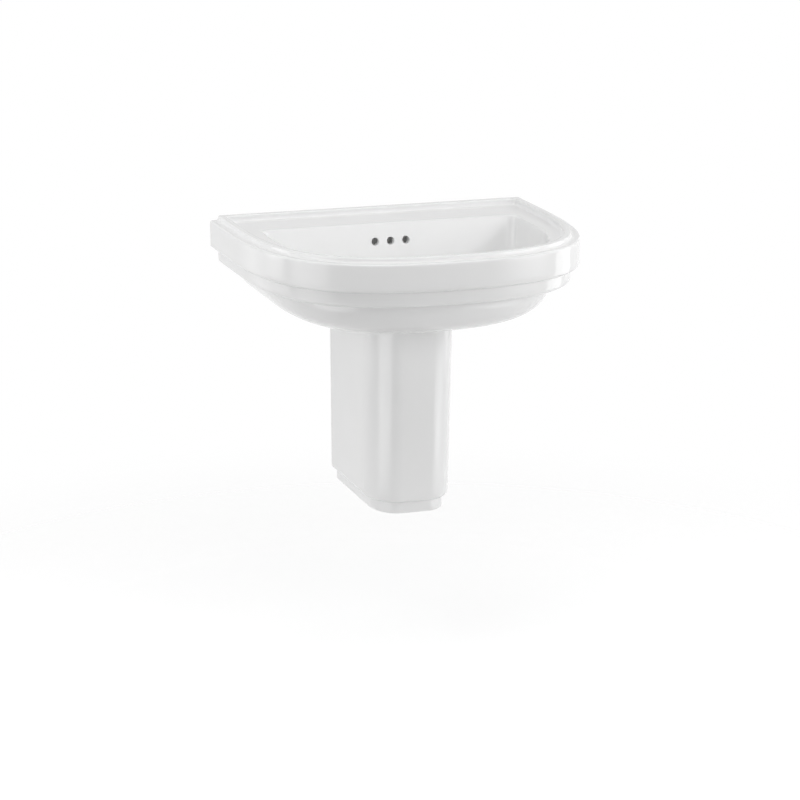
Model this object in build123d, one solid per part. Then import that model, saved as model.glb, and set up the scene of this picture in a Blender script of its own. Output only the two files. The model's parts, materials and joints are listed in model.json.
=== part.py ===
from build123d import *
import math
import os

# All sizes in millimetres. X runs to the right as seen from the front, Y runs to the wall, Z runs up.
# The wall is the plane Y = 0. The origin lies midway between the two wall studs that carry the basin.

# Basin outline
BASIN_W = 650.0            # width over the outer band
BASIN_D = 520.0            # depth from the wall to the front of the outer band
FULL_H = 547.7             # foot of the half pedestal to the top of the raised rim
SIDE_RUN = 140.0           # straight part of each side, from the wall
FRONT_FULL = 0.736         # fullness of the rounded front, as a share of the handle length
RIM_ABOVE_STUDS = 120.0    # top of the raised rim above the wall studs
RIM_INSET = 15.8           # raised rim, in from the outer band
RIM_RISE = 8.6             # raised rim above the top of the outer band
RIM_WIDTH = 13.2           # raised rim, across its top
RIM_BACK_WIDTH = 12.0      # upstand along the wall
BAND_H = 53.5              # outer band
STEP_INSET = 15.5          # lower band, in from the outer band
STEP_H = 29.6              # lower band
TOP_EDGE_R = 4.0           # rounding of the outer band at its top
LOW_EDGE_R = 2.0           # rounding of both bands at their lower edges
RIM_R = 3.0                # rounding of the raised rim
COVE_R = 6.0               # hollow where the raised rim meets the outer band

# Underside of the bowl
BELLY_TOP_INSET = 55.0     # underside at its top, in from the outer band
BELLY_TOP_D = 468.0        # its depth there
BELLY_H = 79.0             # height of the rounded underside
BELLY_LOW_W = 270.0        # flat area at the bottom
BELLY_LOW_D = 330.0
BELLY_SIDE = 179.0         # straight part of each side
BELLY_FULL = 0.698
BELLY_ROUND = 2.33         # exponent of the rounded section

# Inside of the bowl
LEDGE_DROP = 12.0          # ledge below the top of the raised rim
LEDGE_SIDE = 69.0          # bowl opening, in from the outer band at each side
LEDGE_FRONT = 60.0         # and at the front
BOWL_W = BASIN_W - 2 * LEDGE_SIDE
BOWL_BACK = 114.0          # back edge of the opening, from the wall
BOWL_FRONT = BASIN_D - LEDGE_FRONT
BOWL_DEEP = 142.0          # floor below the ledge
BOWL_LOW_W = 210.0         # flat floor
BOWL_LOW_FRONT = 335.0
BOWL_SIDE_LEAN = 0.10      # lean of the bowl walls, inward for each unit down
BOWL_BACK_LEAN = 0.25
BOWL_FRONT_LEAN = 0.25
BOWL_BACK_CURL = 15.0      # rounding at the foot of the back wall
BOWL_ROUND = 3.2
BOWL_CORNER_R = 16.0       # back corners in plan
BOWL_EDGE_R = 7.0          # rounding of the opening edge
BOWL_FULL = 0.76
FLOOR_FALL = 3.0           # dish around the waste
FLOOR_FALL_R = 56.0

# Ceramic behind and under the bowl
CHINA = 14.0               # wall of the bowl at the back
BACK_PLATE = 16.0          # plate against the wall
CHEEK = 16.0               # sides of the hollow behind the bowl
LEDGE_THICK = 18.0         # ledge over that hollow
BOSS_R = 44.0              # boss under the waste
BOSS_DROP = 25.0           # boss below the underside

# Overflow
OVERFLOW_R = 7.2
OVERFLOW_PITCH = 31.0
OVERFLOW_DROP = 46.0       # holes below the top of the raised rim
DUCT_GAP = 10.0            # depth of the passage
DUCT_WALL = 9.0
DUCT_HALF_W = 40.0
FOOT_HALF_W = 18.0         # passage under the floor
DUCT_COVER = 4.0           # passage below the underside
DUCT_BITE = 4.0            # passage walls and boss, let into the bowl
HOLE_OVER = 6.0            # overflow holes, run past both faces of the wall

# Waste fitting
WASTE_Y = 225.0            # waste centre, from the wall
WASTE_TUBE_R = 20.9
WASTE_BORE_R = 17.0
WASTE_HOLE_R = 23.0        # hole through the ceramic
WASTE_LEN = 86.0           # tube below the flange
FLANGE_R = 32.0
FLANGE_T = 3.0
FLANGE_SEAL_T = 2.0
FLANGE_GAP = 2.0           # room round the flange in its recess
SEAT_R = 24.5              # recess in the flange for the plug seal
SEAT_DROP = 1.6            # its depth
LOW_SEAL_T = 5.0
BACK_NUT_H = 11.0
BACK_NUT_AF = 58.0
THREAD_GAP = 0.15
SLIP_GAP = 0.3             # plain rings and tubes that slide together
SLOT_W = 10.0              # overflow slots in the tube
SLOT_H = 14.0
SPOKE_T = 3.0
SPOKE_H = 6.0
SPOKE_DROP = 36.0          # spider below the flange top
HUB_WALL = 2.5

# Push plug
CAP_R = 30.0
CAP_T = 4.0
CAP_DOME = 2.0
CAP_ROUND = 1.0
CAP_GAP = 0.6              # closed cap above the flange
SEAL_RING_W = 5.0
SEAL_SIDE_GAP = 1.0
PLUNGER_R = 5.0
PLUNGER_GAP = 0.3
BARREL_WALL = 2.0
BARREL_UP = 9.0            # barrel above its spider
BARREL_DOWN = 17.0         # barrel below its spider
BARREL_FLOOR = 2.0
BARREL_COLLAR_T = 3.0
PLUNGER_FOOT_GAP = 2.0
PLUNGER_HEAD_R = 9.0
PLUNGER_HEAD_T = 3.0

# Trap
TRAP_TUBE_R = 16.0
TRAP_TUBE_WALL = 2.0
TRAP_SEAL_T = 3.0
COLLAR_T = 3.0
COLLAR_R = 20.0
UNION_WALL = 5.5
UNION_H = 22.0
UNION_LIP = 4.0
HEAD_DROP = 32.0           # head nut below the union nut
HEAD_NUT_H = 14.0
HEAD_R = 27.0
HEAD_WALL = 3.0
HEAD_H = 62.0              # trap body under the head nut
NECK_R = 21.5
NECK_H = 12.0
CUP_R = 30.0
CUP_H = 66.0
CUP_WALL = 3.0
CUP_THREAD_H = 12.0
CUP_SEAL_T = 2.0
SEAL_EASE = 0.4            # cup seal, in from both faces of the trap wall
CUP_BEND = 10.0
DIP_ROOM = 1.0             # round the dip tube in the neck
DIP_GAP = 22.0             # foot of the dip tube above the cup floor
BRANCH_DROP = 36.0         # outlet below the top of the trap body
BRANCH_LEN = 26.0
RIB_COUNT = 12
RIB_T = 3.0
RIB_UP = 1.6
SOCKET = 18.0              # pipe socket in the outlet branch
PIPE_END_GAP = 0.5

# Outlet pipe and rosette
PIPE_R = 16.0
PIPE_WALL = 2.0
PIPE_IN_WALL = 40.0
ROSETTE_R = 31.0
ROSETTE_H = 9.0
ROSETTE_T = 1.6
ROSETTE_GAP = 0.3
RUBBER_R = 20.0            # rubber sleeve on the pipe, in the wall socket
RUBBER_LEN = 28.0
RUBBER_START = 6.0         # from the wall face
RUBBER_LIP = 2.5

# Wall fixings of the basin
STUD_PITCH = 280.0
STUD_R = 4.8               # machine thread, on the basin side
STUD_SCREW_R = 5.0         # screw thread, in the wall
STUD_IN_WALL = 60.0
STUD_TIP = 8.0
STUD_OUT = 12.0            # stud beyond its nut
SLEEVE_WALL = 2.8
SLEEVE_GAP = 0.3
SLEEVE_FLANGE_R = 15.0
SLEEVE_FLANGE_T = 3.0
SLEEVE_SHORT = 1.0         # sleeve end short of the wall
WASHER_R = 12.0
WASHER_T = 2.5
NUT_AF = 17.0
NUT_H = 8.0

# Half pedestal
PED_TOP_W = 171.0
PED_LOW_W = 167.0
PED_TOP_PAST = 74.0        # front past the waste centre, at the top
PED_LOW_PAST = 56.0        # and at the lower edge
PED_TOP_D = WASTE_Y + PED_TOP_PAST
PED_LOW_D = WASTE_Y + PED_LOW_PAST
PED_CORNER_X = 56.0        # rounded front corners, along the front
PED_CORNER_Y = 80.0        # and along the sides
PED_LOW_R = 8.0
PED_WALL = 12.0
PLINTH_INSET = 11.0
PLINTH_H = 23.0
PED_FLOOR = 14.0
PAD_T = 2.0                # pads between the pedestal and the basin
PAD_W = 7.0
PAD_START = 170.0
PAD_LEN = 70.0

# Wall fixings of the half pedestal
PED_STUD_PITCH = 112.0
PED_STUD_UP = 110.0        # above the foot of the pedestal
PED_STUD_R = 3.8
PED_STUD_SCREW_R = 4.0
PED_STUD_IN_WALL = 50.0
PED_WASHER_R = 10.0
PED_WASHER_T = 2.0
PED_NUT_AF = 13.0
PED_NUT_H = 6.5
PED_SLEEVE_FLANGE_R = 12.0
LUG_T = 16.0
LUG_HALF_H = 30.0
LUG_HALF_W = 17.0

ROUND_PULL = 4 / 3 * (math.sqrt(2) - 1)  # handle length of a quarter round

# Levels worked out from the sizes above
RIM_TOP = RIM_ABOVE_STUDS
BAND_TOP = RIM_TOP - RIM_RISE
BAND_LOW = BAND_TOP - BAND_H
STEP_LOW = BAND_LOW - STEP_H
BELLY_LOW = STEP_LOW - BELLY_H
LEDGE = RIM_TOP - LEDGE_DROP
FLOOR = LEDGE - BOWL_DEEP
SEAT = FLOOR - FLOOR_FALL - FLANGE_T
BOSS_LOW = BELLY_LOW - BOSS_DROP
HALF_W = BASIN_W / 2
FLANGE_TOP = SEAT + FLANGE_SEAL_T + FLANGE_T
TUBE_LOW = SEAT + FLANGE_SEAL_T - WASTE_LEN
PED_TOP = BELLY_LOW - PAD_T
PED_FOOT = RIM_TOP - FULL_H
PED_LOW = PED_FOOT + PLINTH_H
PED_H = PED_TOP - PED_LOW
PED_STUD_Z = PED_FOOT + PED_STUD_UP
RUN_Z = BELLY_LOW - DUCT_COVER - DUCT_GAP / 2
SPIDER_TOP = FLANGE_TOP - SPOKE_DROP
SPIDER_LOW = SPIDER_TOP - SPOKE_H
BARREL_R = PLUNGER_R + PLUNGER_GAP + BARREL_WALL
UNION_LOW = TUBE_LOW - TRAP_SEAL_T - COLLAR_T - UNION_LIP
HEAD_NUT_TOP = UNION_LOW - HEAD_DROP
NECK_TOP = HEAD_NUT_TOP - UNION_LIP - TRAP_SEAL_T
NECK_LOW = NECK_TOP - NECK_H
CHAMBER_LOW = NECK_LOW - HEAD_H
CUP_TOP = CHAMBER_LOW + CUP_THREAD_H
CUP_LOW = CUP_TOP - CUP_H
DIP_LOW = CUP_LOW + CUP_WALL + DIP_GAP
DIP_HOLE_R = TRAP_TUBE_R + DIP_ROOM
BRANCH_Z = NECK_TOP - BRANCH_DROP


def d_plan(half_w, depth, side, full, z, corner=0.0, back=0.0):
    """Flat back, straight sides and a full rounded front, seen from above."""
    pull = -side - full * (depth - side)
    edges = [
        Line((-half_w, 0), (half_w, 0)),
        Line((half_w, 0), (half_w, -side)),
        Bezier((half_w, -side), (half_w, pull), (full * half_w, -depth), (0, -depth)),
        Bezier((0, -depth), (-full * half_w, -depth), (-half_w, pull), (-half_w, -side)),
        Line((-half_w, -side), (-half_w, 0)),
    ]
    face = Sketch() + make_face(edges)
    if corner > 0:
        rear = face.vertices().filter_by(lambda v: abs(v.Y) < 1e-6)
        face = fillet(rear, corner)
    return Pos(0, -back, z) * face


def slab(half_w, depth, side, full, low, high):
    """Straight band with the plan of the basin."""
    return extrude(d_plan(half_w, depth, side, full, low), amount=high - low)


def front_edges(solid, z):
    """Level edges at one height, without the one along the wall."""
    level = solid.edges().filter_by(lambda e: abs(e.bounding_box().min.Z - z) < 1e-4)
    level = level.filter_by(lambda e: abs(e.bounding_box().max.Z - z) < 1e-4)
    return level.filter_by(lambda e: e.bounding_box().min.Y < -1e-3)


def turned(profile, x=0.0, y=0.0):
    """Solid of revolution about an upright axis, from radius and height pairs."""
    face = Plane.XZ * make_face(Polyline(*profile, close=True))
    return Pos(x, y, 0) * revolve(face, Axis.Z)


def turned_to_wall(profile, x=0.0, z=0.0):
    """Solid of revolution about an axis that runs to the wall, from radius and Y pairs."""
    face = make_face(Polyline(*profile, close=True))
    return Pos(x, 0, z) * revolve(face, Axis.Y)


def ring(inner, outer, low, high, y):
    """Plain ring about the waste axis."""
    return turned([(inner, low), (outer, low), (outer, high), (inner, high)], 0, y)


def belly_at(angle):
    """Half-width, depth and height of the underside at one angle of its rounded section."""
    keep = max(math.cos(angle), 0.0) ** (2 / BELLY_ROUND)
    fall = math.sin(angle) ** (2 / BELLY_ROUND)
    top_half = HALF_W - BELLY_TOP_INSET
    half = BELLY_LOW_W / 2 + (top_half - BELLY_LOW_W / 2) * keep
    depth = BELLY_LOW_D + (BELLY_TOP_D - BELLY_LOW_D) * keep
    return half, depth, STEP_LOW - BELLY_H * fall


def bowl_at(angle):
    """Half-width, back, front and height of the bowl inside at one angle of its section."""
    keep = max(math.cos(angle), 0.0) ** (2 / BOWL_ROUND)
    down = BOWL_DEEP * math.sin(angle) ** (2 / BOWL_ROUND)
    low_side = BOWL_W / 2 - BOWL_SIDE_LEAN * BOWL_DEEP
    low_front = BOWL_FRONT - BOWL_FRONT_LEAN * BOWL_DEEP
    half = BOWL_W / 2 - BOWL_SIDE_LEAN * down - (low_side - BOWL_LOW_W / 2) * (1 - keep)
    front = BOWL_FRONT - BOWL_FRONT_LEAN * down - (low_front - BOWL_LOW_FRONT) * (1 - keep)
    back = BOWL_BACK + BOWL_BACK_LEAN * down + BOWL_BACK_CURL * (1 - keep)
    return half, back, front, LEDGE - down


def steps(count):
    """Even angles of a quarter turn."""
    return [math.pi / 2 * i / count for i in range(count + 1)]


def back_line(offset, low, high):
    """Points down the back wall of the bowl, moved towards the wall by an offset."""
    shape = [(bowl_at(a)[3], -bowl_at(a)[1]) for a in steps(8)]
    points = [(shape[0][1] + BOWL_BACK_LEAN * (shape[0][0] - high) + offset, high)]
    points += [(y + offset, z) for z, y in shape if low + 1 < z < high - 1]
    points.append((points[-1][0], low))
    return points


def sheet(points, half_w):
    """Solid from a closed line of Y and Z pairs, level across the basin."""
    face = Plane.YZ * make_face(Polyline(*points, close=True))
    return extrude(face, amount=half_w, both=True)


def make_basin():
    """Ceramic basin: bands, raised rim, bowl, hollow back and overflow passage."""
    band = slab(HALF_W, BASIN_D, SIDE_RUN, FRONT_FULL, BAND_LOW, BAND_TOP)
    band = fillet(front_edges(band, BAND_TOP), TOP_EDGE_R)
    band = fillet(front_edges(band, BAND_LOW), LOW_EDGE_R)
    lower = slab(HALF_W - STEP_INSET, BASIN_D - STEP_INSET, SIDE_RUN, FRONT_FULL, STEP_LOW, BAND_LOW)
    lower = fillet(front_edges(lower, STEP_LOW), LOW_EDGE_R)
    rim = slab(HALF_W - RIM_INSET, BASIN_D - RIM_INSET, SIDE_RUN, FRONT_FULL, BAND_TOP, RIM_TOP)
    outer = band + lower + rim
    foot = HALF_W - RIM_INSET + 0.1
    cove = front_edges(outer, BAND_TOP).filter_by(lambda e: e.bounding_box().max.X < foot)
    outer = fillet(cove.filter_by(lambda e: e.bounding_box().min.X > -foot), COVE_R)
    rings = [belly_at(a) for a in steps(8)]
    belly = loft([d_plan(h, d, BELLY_SIDE, BELLY_FULL, z) for h, d, z in rings])
    outer = outer + belly

    # Ledge inside the raised rim
    inset = RIM_INSET + RIM_WIDTH
    tray = d_plan(HALF_W - inset, BASIN_D - inset - RIM_BACK_WIDTH, SIDE_RUN - RIM_BACK_WIDTH,
                  FRONT_FULL, LEDGE, COVE_R, RIM_BACK_WIDTH)
    tray = extrude(tray, amount=LEDGE_DROP + 1)
    tray = fillet(tray.edges().group_by(Axis.Z)[0], COVE_R)
    outer = outer - tray
    outer = fillet(front_edges(outer, RIM_TOP), RIM_R)

    # Bowl
    wells = []
    for angle in steps(8):
        half, back, front, z = bowl_at(angle)
        side = (SIDE_RUN - BOWL_CORNER_R) * half / HALF_W
        wells.append(d_plan(half, front - back, side, BOWL_FULL, z, BOWL_CORNER_R, back))
    bowl = loft(wells)
    outer = outer - bowl
    lip = front_edges(outer, LEDGE).filter_by(lambda e: e.bounding_box().max.X < BOWL_W / 2 + 1)
    outer = fillet(lip.filter_by(lambda e: e.bounding_box().min.X > -BOWL_W / 2 - 1), BOWL_EDGE_R)
    dish = turned([(0, FLOOR + 1), (FLOOR_FALL_R, FLOOR + 1), (FLOOR_FALL_R, FLOOR),
                   (FLANGE_R + FLANGE_GAP, FLOOR - FLOOR_FALL), (0, FLOOR - FLOOR_FALL)], 0, -WASTE_Y)
    outer = outer - dish

    # Hollow behind the bowl, open below
    shape = [(belly_at(a)[0] - CHEEK, belly_at(a)[2]) for a in steps(8)]
    roof = LEDGE - LEDGE_THICK
    right = [(shape[0][0], roof)] + shape + [(shape[-1][0], BOSS_LOW - 1)]
    left = [(-x, z) for x, z in reversed(right)]
    across = Plane.XZ * make_face(Polyline(*(right + left), close=True))
    across = extrude(across, amount=BOWL_BACK + BOWL_DEEP)
    side_view = [(-BACK_PLATE, roof)] + back_line(CHINA, BOSS_LOW - 1, roof) + [(-BACK_PLATE, BOSS_LOW - 1)]
    outer = outer - (across & sheet(side_view, HALF_W))

    # Overflow passage from the three holes to the waste
    far = CHINA + DUCT_GAP + DUCT_WALL
    foot_low = BELLY_LOW - DUCT_COVER - DUCT_GAP - DUCT_WALL
    near_side = back_line(CHINA - DUCT_BITE, foot_low, roof + 1)
    body = back_line(far, foot_low, roof + 1) + list(reversed(near_side))
    outer = outer + sheet(body, DUCT_HALF_W + DUCT_WALL)
    let_in = BELLY_LOW + DUCT_BITE
    outer = outer + ring(0, BOSS_R, BOSS_LOW, let_in, -WASTE_Y)
    foot_y = back_line(far, foot_low, roof)[-1][0]
    foot = Pos(0, (foot_y - WASTE_Y) / 2, (foot_low + let_in) / 2)
    foot = foot * Box(2 * (FOOT_HALF_W + DUCT_WALL), WASTE_Y + foot_y, let_in - foot_low)
    outer = outer + foot
    top = RIM_TOP - OVERFLOW_DROP + OVERFLOW_R + 2
    low = foot_low + DUCT_WALL
    inner = back_line(CHINA + DUCT_GAP, low, top) + list(reversed(back_line(CHINA, low, top)))
    outer = outer - sheet(inner, DUCT_HALF_W)
    near_y = inner[len(inner) // 2 - 1][0]
    run = Pos(0, (near_y - WASTE_Y) / 2, low + DUCT_GAP / 2)
    outer = outer - run * Box(2 * FOOT_HALF_W, WASTE_Y + near_y, DUCT_GAP)
    z_hole = RIM_TOP - OVERFLOW_DROP
    for i in (-1, 0, 1):
        hole = Pos(i * OVERFLOW_PITCH, -BOWL_BACK - 3, z_hole) * Rot(90, 0, 0)
        outer = outer - hole * Cylinder(OVERFLOW_R, 2 * (CHINA + HOLE_OVER))

    # Waste hole and its recess
    outer = outer - ring(0, FLANGE_R + FLANGE_GAP, SEAT, FLOOR, -WASTE_Y)
    outer = outer - ring(0, WASTE_HOLE_R, BOSS_LOW - 1, SEAT + 1, -WASTE_Y)

    # Stud holes in the back plate
    hole_r = STUD_R + SLEEVE_GAP + SLEEVE_WALL + SLEEVE_GAP
    for s in (-1, 1):
        hole = Pos(s * STUD_PITCH / 2, -BACK_PLATE / 2, 0) * Rot(90, 0, 0)
        outer = outer - hole * Cylinder(hole_r, BACK_PLATE + 2)
    return outer


def u_plan(half_w, depth, run_x, run_y, z, back=0.0):
    """Flat back, straight sides and a front with long rounded corners, seen from above."""
    flat = half_w - run_x
    side = -(depth - run_y)
    pull_x = flat + ROUND_PULL * run_x
    pull_y = side - ROUND_PULL * run_y
    edges = [
        Line((-half_w, back), (half_w, back)),
        Line((half_w, back), (half_w, side)),
        Bezier((half_w, side), (half_w, pull_y), (pull_x, -depth), (flat, -depth)),
        Line((flat, -depth), (-flat, -depth)),
        Bezier((-flat, -depth), (-pull_x, -depth), (-half_w, pull_y), (-half_w, side)),
        Line((-half_w, side), (-half_w, back)),
    ]
    return Pos(0, 0, z) * (Sketch() + make_face(edges))


def pedestal_plan(z, inset, back=0.0):
    """Plan of the pedestal body at one height, moved in from its outside."""
    share = (PED_TOP - z) / PED_H
    half = (PED_TOP_W + (PED_LOW_W - PED_TOP_W) * share) / 2 - inset
    depth = PED_TOP_D + (PED_LOW_D - PED_TOP_D) * share - inset
    return u_plan(half, depth, PED_CORNER_X - inset, PED_CORNER_Y - inset, z, back)


def plinth_block(inset, low, high, back=0.0):
    """Straight block with the plan of the plinth, moved in by an inset."""
    inset = PLINTH_INSET + inset
    plan = u_plan(PED_LOW_W / 2 - inset, PED_LOW_D - inset, PED_CORNER_X - inset, PED_CORNER_Y - inset,
                  low, back)
    return extrude(plan, amount=high - low)


def make_pedestal():
    """Hollow half pedestal, open at the top and towards the wall, with two fixing lugs inside."""
    body = loft([pedestal_plan(PED_LOW, 0), pedestal_plan(PED_TOP, 0)])
    body = fillet(front_edges(body, PED_LOW), PED_LOW_R)
    body = body + plinth_block(0, PED_FOOT, PED_LOW + PED_WALL)
    shelf = PED_LOW + PED_WALL
    body = body - loft([pedestal_plan(shelf, PED_WALL, 1), pedestal_plan(PED_TOP + 1, PED_WALL, 1)])
    body = body - plinth_block(PED_WALL, PED_FOOT + PED_FLOOR, shelf + 1, 1)
    for s in (-1, 1):
        inner = PED_STUD_PITCH / 2 - LUG_HALF_W
        outer = PED_LOW_W / 2 - PED_WALL / 2
        lug = Pos(s * (inner + outer) / 2, -LUG_T / 2, PED_STUD_Z)
        body = body + lug * Box(outer - inner, LUG_T, 2 * LUG_HALF_H)
    hole_r = PED_STUD_R + SLEEVE_GAP + SLEEVE_WALL + SLEEVE_GAP
    for s in (-1, 1):
        hole = Pos(s * PED_STUD_PITCH / 2, -LUG_T / 2, PED_STUD_Z) * Rot(90, 0, 0)
        body = body - hole * Cylinder(hole_r, LUG_T + 2)
    return body


def make_stud(x, z, radius, screw_r, in_wall, seat, washer_t, nut_h):
    """Two-ended stud: a pointed screw in the wall and a machine thread to just past its nut."""
    end = -seat - SLEEVE_FLANGE_T - washer_t - nut_h - STUD_OUT
    return turned_to_wall([(0, in_wall), (screw_r, in_wall - STUD_TIP), (screw_r, 0), (radius, 0),
                           (radius, end + 1), (radius - 1, end), (0, end)], x, z)


def make_sleeve(x, z, radius, seat, flange_r):
    """Plastic sleeve in the ceramic with a flange under the washer."""
    inner = radius + SLEEVE_GAP
    barrel = inner + SLEEVE_WALL
    face = -seat - SLEEVE_FLANGE_T
    return turned_to_wall([(inner, face), (flange_r, face), (flange_r, -seat), (barrel, -seat),
                           (barrel, -SLEEVE_SHORT), (inner, -SLEEVE_SHORT)], x, z)


def make_washer(x, z, radius, seat, washer_r, washer_t):
    """Flat washer on the sleeve flange."""
    high = -seat - SLEEVE_FLANGE_T
    inner = radius + SLEEVE_GAP
    return turned_to_wall([(inner, high - washer_t), (washer_r, high - washer_t),
                           (washer_r, high), (inner, high)], x, z)


def make_nut(x, z, radius, seat, washer_t, across, height):
    """Hexagon nut on the washer."""
    high = -seat - SLEEVE_FLANGE_T - washer_t
    face = RegularPolygon(across / 2, 6, major_radius=False) - Circle(radius + THREAD_GAP)
    return Pos(x, high, z) * extrude(Plane.XZ * face, amount=height)


def grip_nut(lip_r, thread_r, low, high, lip_at_top):
    """Hand-tightened plastic nut about the Z axis: thread, inner lip and grip ribs."""
    outer = thread_r + UNION_WALL
    if lip_at_top:
        edge = high - UNION_LIP
        profile = [(thread_r, low), (outer, low), (outer, high - 1.5), (outer - 1.5, high), (lip_r, high),
                   (lip_r, edge), (thread_r, edge)]
    else:
        edge = low + UNION_LIP
        profile = [(lip_r, low), (outer - 1.5, low), (outer, low + 1.5), (outer, high), (thread_r, high),
                   (thread_r, edge), (lip_r, edge)]
    body = turned(profile)
    rib = Box(RIB_UP + 1, RIB_T, high - low - 4)
    middle = (low + high) / 2
    for place in PolarLocations(outer + RIB_UP / 2 - 0.5, RIB_COUNT):
        body = body + Pos(0, 0, middle) * place * rib
    return body


def make_waste():
    """Slotted waste: flange with a seat for the plug, threaded tube, overflow slots and a spider."""
    under = FLANGE_TOP - FLANGE_T
    seat = FLANGE_TOP - SEAT_DROP
    body = turned([(WASTE_BORE_R, TUBE_LOW), (WASTE_TUBE_R, TUBE_LOW), (WASTE_TUBE_R, under),
                   (FLANGE_R, under), (FLANGE_R, FLANGE_TOP - 1), (FLANGE_R - 2, FLANGE_TOP),
                   (SEAT_R, FLANGE_TOP), (SEAT_R, seat), (WASTE_BORE_R, seat)])
    for angle in (0, 90):
        body = body - Pos(0, 0, RUN_Z) * Rot(0, 0, angle) * Box(3 * WASTE_TUBE_R, SLOT_W, SLOT_H)
    hub_r = BARREL_R + THREAD_GAP
    spider = turned([(hub_r, SPIDER_LOW), (hub_r + HUB_WALL, SPIDER_LOW), (hub_r + HUB_WALL, SPIDER_TOP),
                     (hub_r, SPIDER_TOP)])
    reach = WASTE_BORE_R + 1 - hub_r - 1
    for angle in (90, 210, 330):
        spoke = Rot(0, 0, angle) * Pos(hub_r + 1 + reach / 2, 0, (SPIDER_LOW + SPIDER_TOP) / 2)
        spider = spider + spoke * Box(reach, SPOKE_T, SPOKE_H)
    return Pos(0, -WASTE_Y, 0) * (body + spider)


def make_cap():
    """Domed push cap of the plug."""
    low = FLANGE_TOP + CAP_GAP
    edge = low + CAP_T - CAP_ROUND
    top = low + CAP_T + CAP_DOME
    reach = CAP_R - CAP_ROUND
    dome_r = (reach ** 2 + CAP_DOME ** 2) / (2 * CAP_DOME)
    half = math.asin(reach / dome_r) / 2
    lines = [
        Line((0, low), (reach, low)),
        Line((reach, low), (CAP_R, low + CAP_ROUND)),
        Line((CAP_R, low + CAP_ROUND), (CAP_R, edge)),
        Line((CAP_R, edge), (reach, edge + CAP_ROUND)),
        ThreePointArc((reach, edge + CAP_ROUND),
                      (dome_r * math.sin(half), top - dome_r + dome_r * math.cos(half)), (0, top)),
        Line((0, top), (0, low)),
    ]
    return Pos(0, -WASTE_Y, 0) * revolve(Plane.XZ * make_face(lines), Axis.Z)


def make_barrel():
    """Latch barrel screwed into the spider, closed below."""
    inner = PLUNGER_R + PLUNGER_GAP
    top = SPIDER_TOP + BARREL_UP
    foot = SPIDER_LOW - BARREL_DOWN
    collar = SPIDER_TOP + BARREL_COLLAR_T
    collar_r = BARREL_R + THREAD_GAP + HUB_WALL
    return turned([(0, foot), (BARREL_R - 1, foot), (BARREL_R, foot + 1), (BARREL_R, SPIDER_TOP),
                   (collar_r, SPIDER_TOP), (collar_r, collar), (BARREL_R, collar), (BARREL_R, top),
                   (inner, top), (inner, foot + BARREL_FLOOR), (0, foot + BARREL_FLOOR)], 0, -WASTE_Y)


def make_plunger():
    """Plunger from the cap down into the latch barrel."""
    foot = SPIDER_LOW - BARREL_DOWN + BARREL_FLOOR + PLUNGER_FOOT_GAP
    top = FLANGE_TOP + CAP_GAP
    neck = top - PLUNGER_HEAD_T
    return turned([(0, foot), (PLUNGER_R - 1, foot), (PLUNGER_R, foot + 1), (PLUNGER_R, neck),
                   (PLUNGER_HEAD_R, neck), (PLUNGER_HEAD_R, top), (0, top)], 0, -WASTE_Y)


def make_trap_body():
    """Trap body: neck for the dip tube, chamber and outlet branch towards the wall."""
    inner = HEAD_R - HEAD_WALL
    roof = NECK_LOW - HEAD_WALL
    body = turned([(DIP_HOLE_R, NECK_TOP), (NECK_R, NECK_TOP), (NECK_R, NECK_LOW), (HEAD_R - 3, NECK_LOW),
                   (HEAD_R, NECK_LOW - 3), (HEAD_R, CHAMBER_LOW), (inner, CHAMBER_LOW), (inner, roof - 3),
                   (inner - 3, roof), (DIP_HOLE_R, roof)])
    length = HEAD_R + BRANCH_LEN
    branch = Pos(0, length / 2, BRANCH_Z) * Rot(90, 0, 0) * Cylinder(NECK_R, length)
    core = turned([(0, NECK_TOP), (DIP_HOLE_R, NECK_TOP), (DIP_HOLE_R, roof), (inner - 3, roof),
                   (inner, roof - 3), (inner, CHAMBER_LOW), (0, CHAMBER_LOW)])
    bore_r = PIPE_R - PIPE_WALL
    bore = Pos(0, length / 2, BRANCH_Z) * Rot(90, 0, 0) * Cylinder(bore_r, length)
    socket = Pos(0, length - SOCKET / 2, BRANCH_Z) * Rot(90, 0, 0) * Cylinder(PIPE_R + SLIP_GAP, SOCKET)
    body = body + (branch - core) - bore - socket
    return Pos(0, -WASTE_Y, 0) * body


def make_cup():
    """Screw-on trap cup with a rounded foot."""
    thread = HEAD_R + THREAD_GAP
    outer = thread + CUP_WALL
    inner = HEAD_R - HEAD_WALL
    shelf = CHAMBER_LOW - CUP_SEAL_T
    bend = CUP_BEND
    floor = CUP_LOW + CUP_WALL
    return turned([(0, CUP_LOW), (outer - bend, CUP_LOW), (outer - bend * 0.4, CUP_LOW + bend * 0.3),
                   (outer - bend * 0.1, CUP_LOW + bend * 0.7), (outer, CUP_LOW + bend * 1.2),
                   (outer, CUP_TOP), (thread, CUP_TOP), (thread, shelf), (inner, shelf),
                   (inner, floor + bend), (inner - bend * 0.6, floor), (0, floor)], 0, -WASTE_Y)


def make_rosette():
    """Thin dished cover plate round the pipe at the wall."""
    inner = PIPE_R + ROSETTE_GAP
    return turned_to_wall([(inner, -ROSETTE_H), (inner + 4, -ROSETTE_H), (ROSETTE_R, -ROSETTE_T),
                           (ROSETTE_R, 0), (ROSETTE_R - 3, 0), (inner + 4, -ROSETTE_H + ROSETTE_T),
                           (inner, -ROSETTE_H + ROSETTE_T)], 0, BRANCH_Z)


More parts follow.
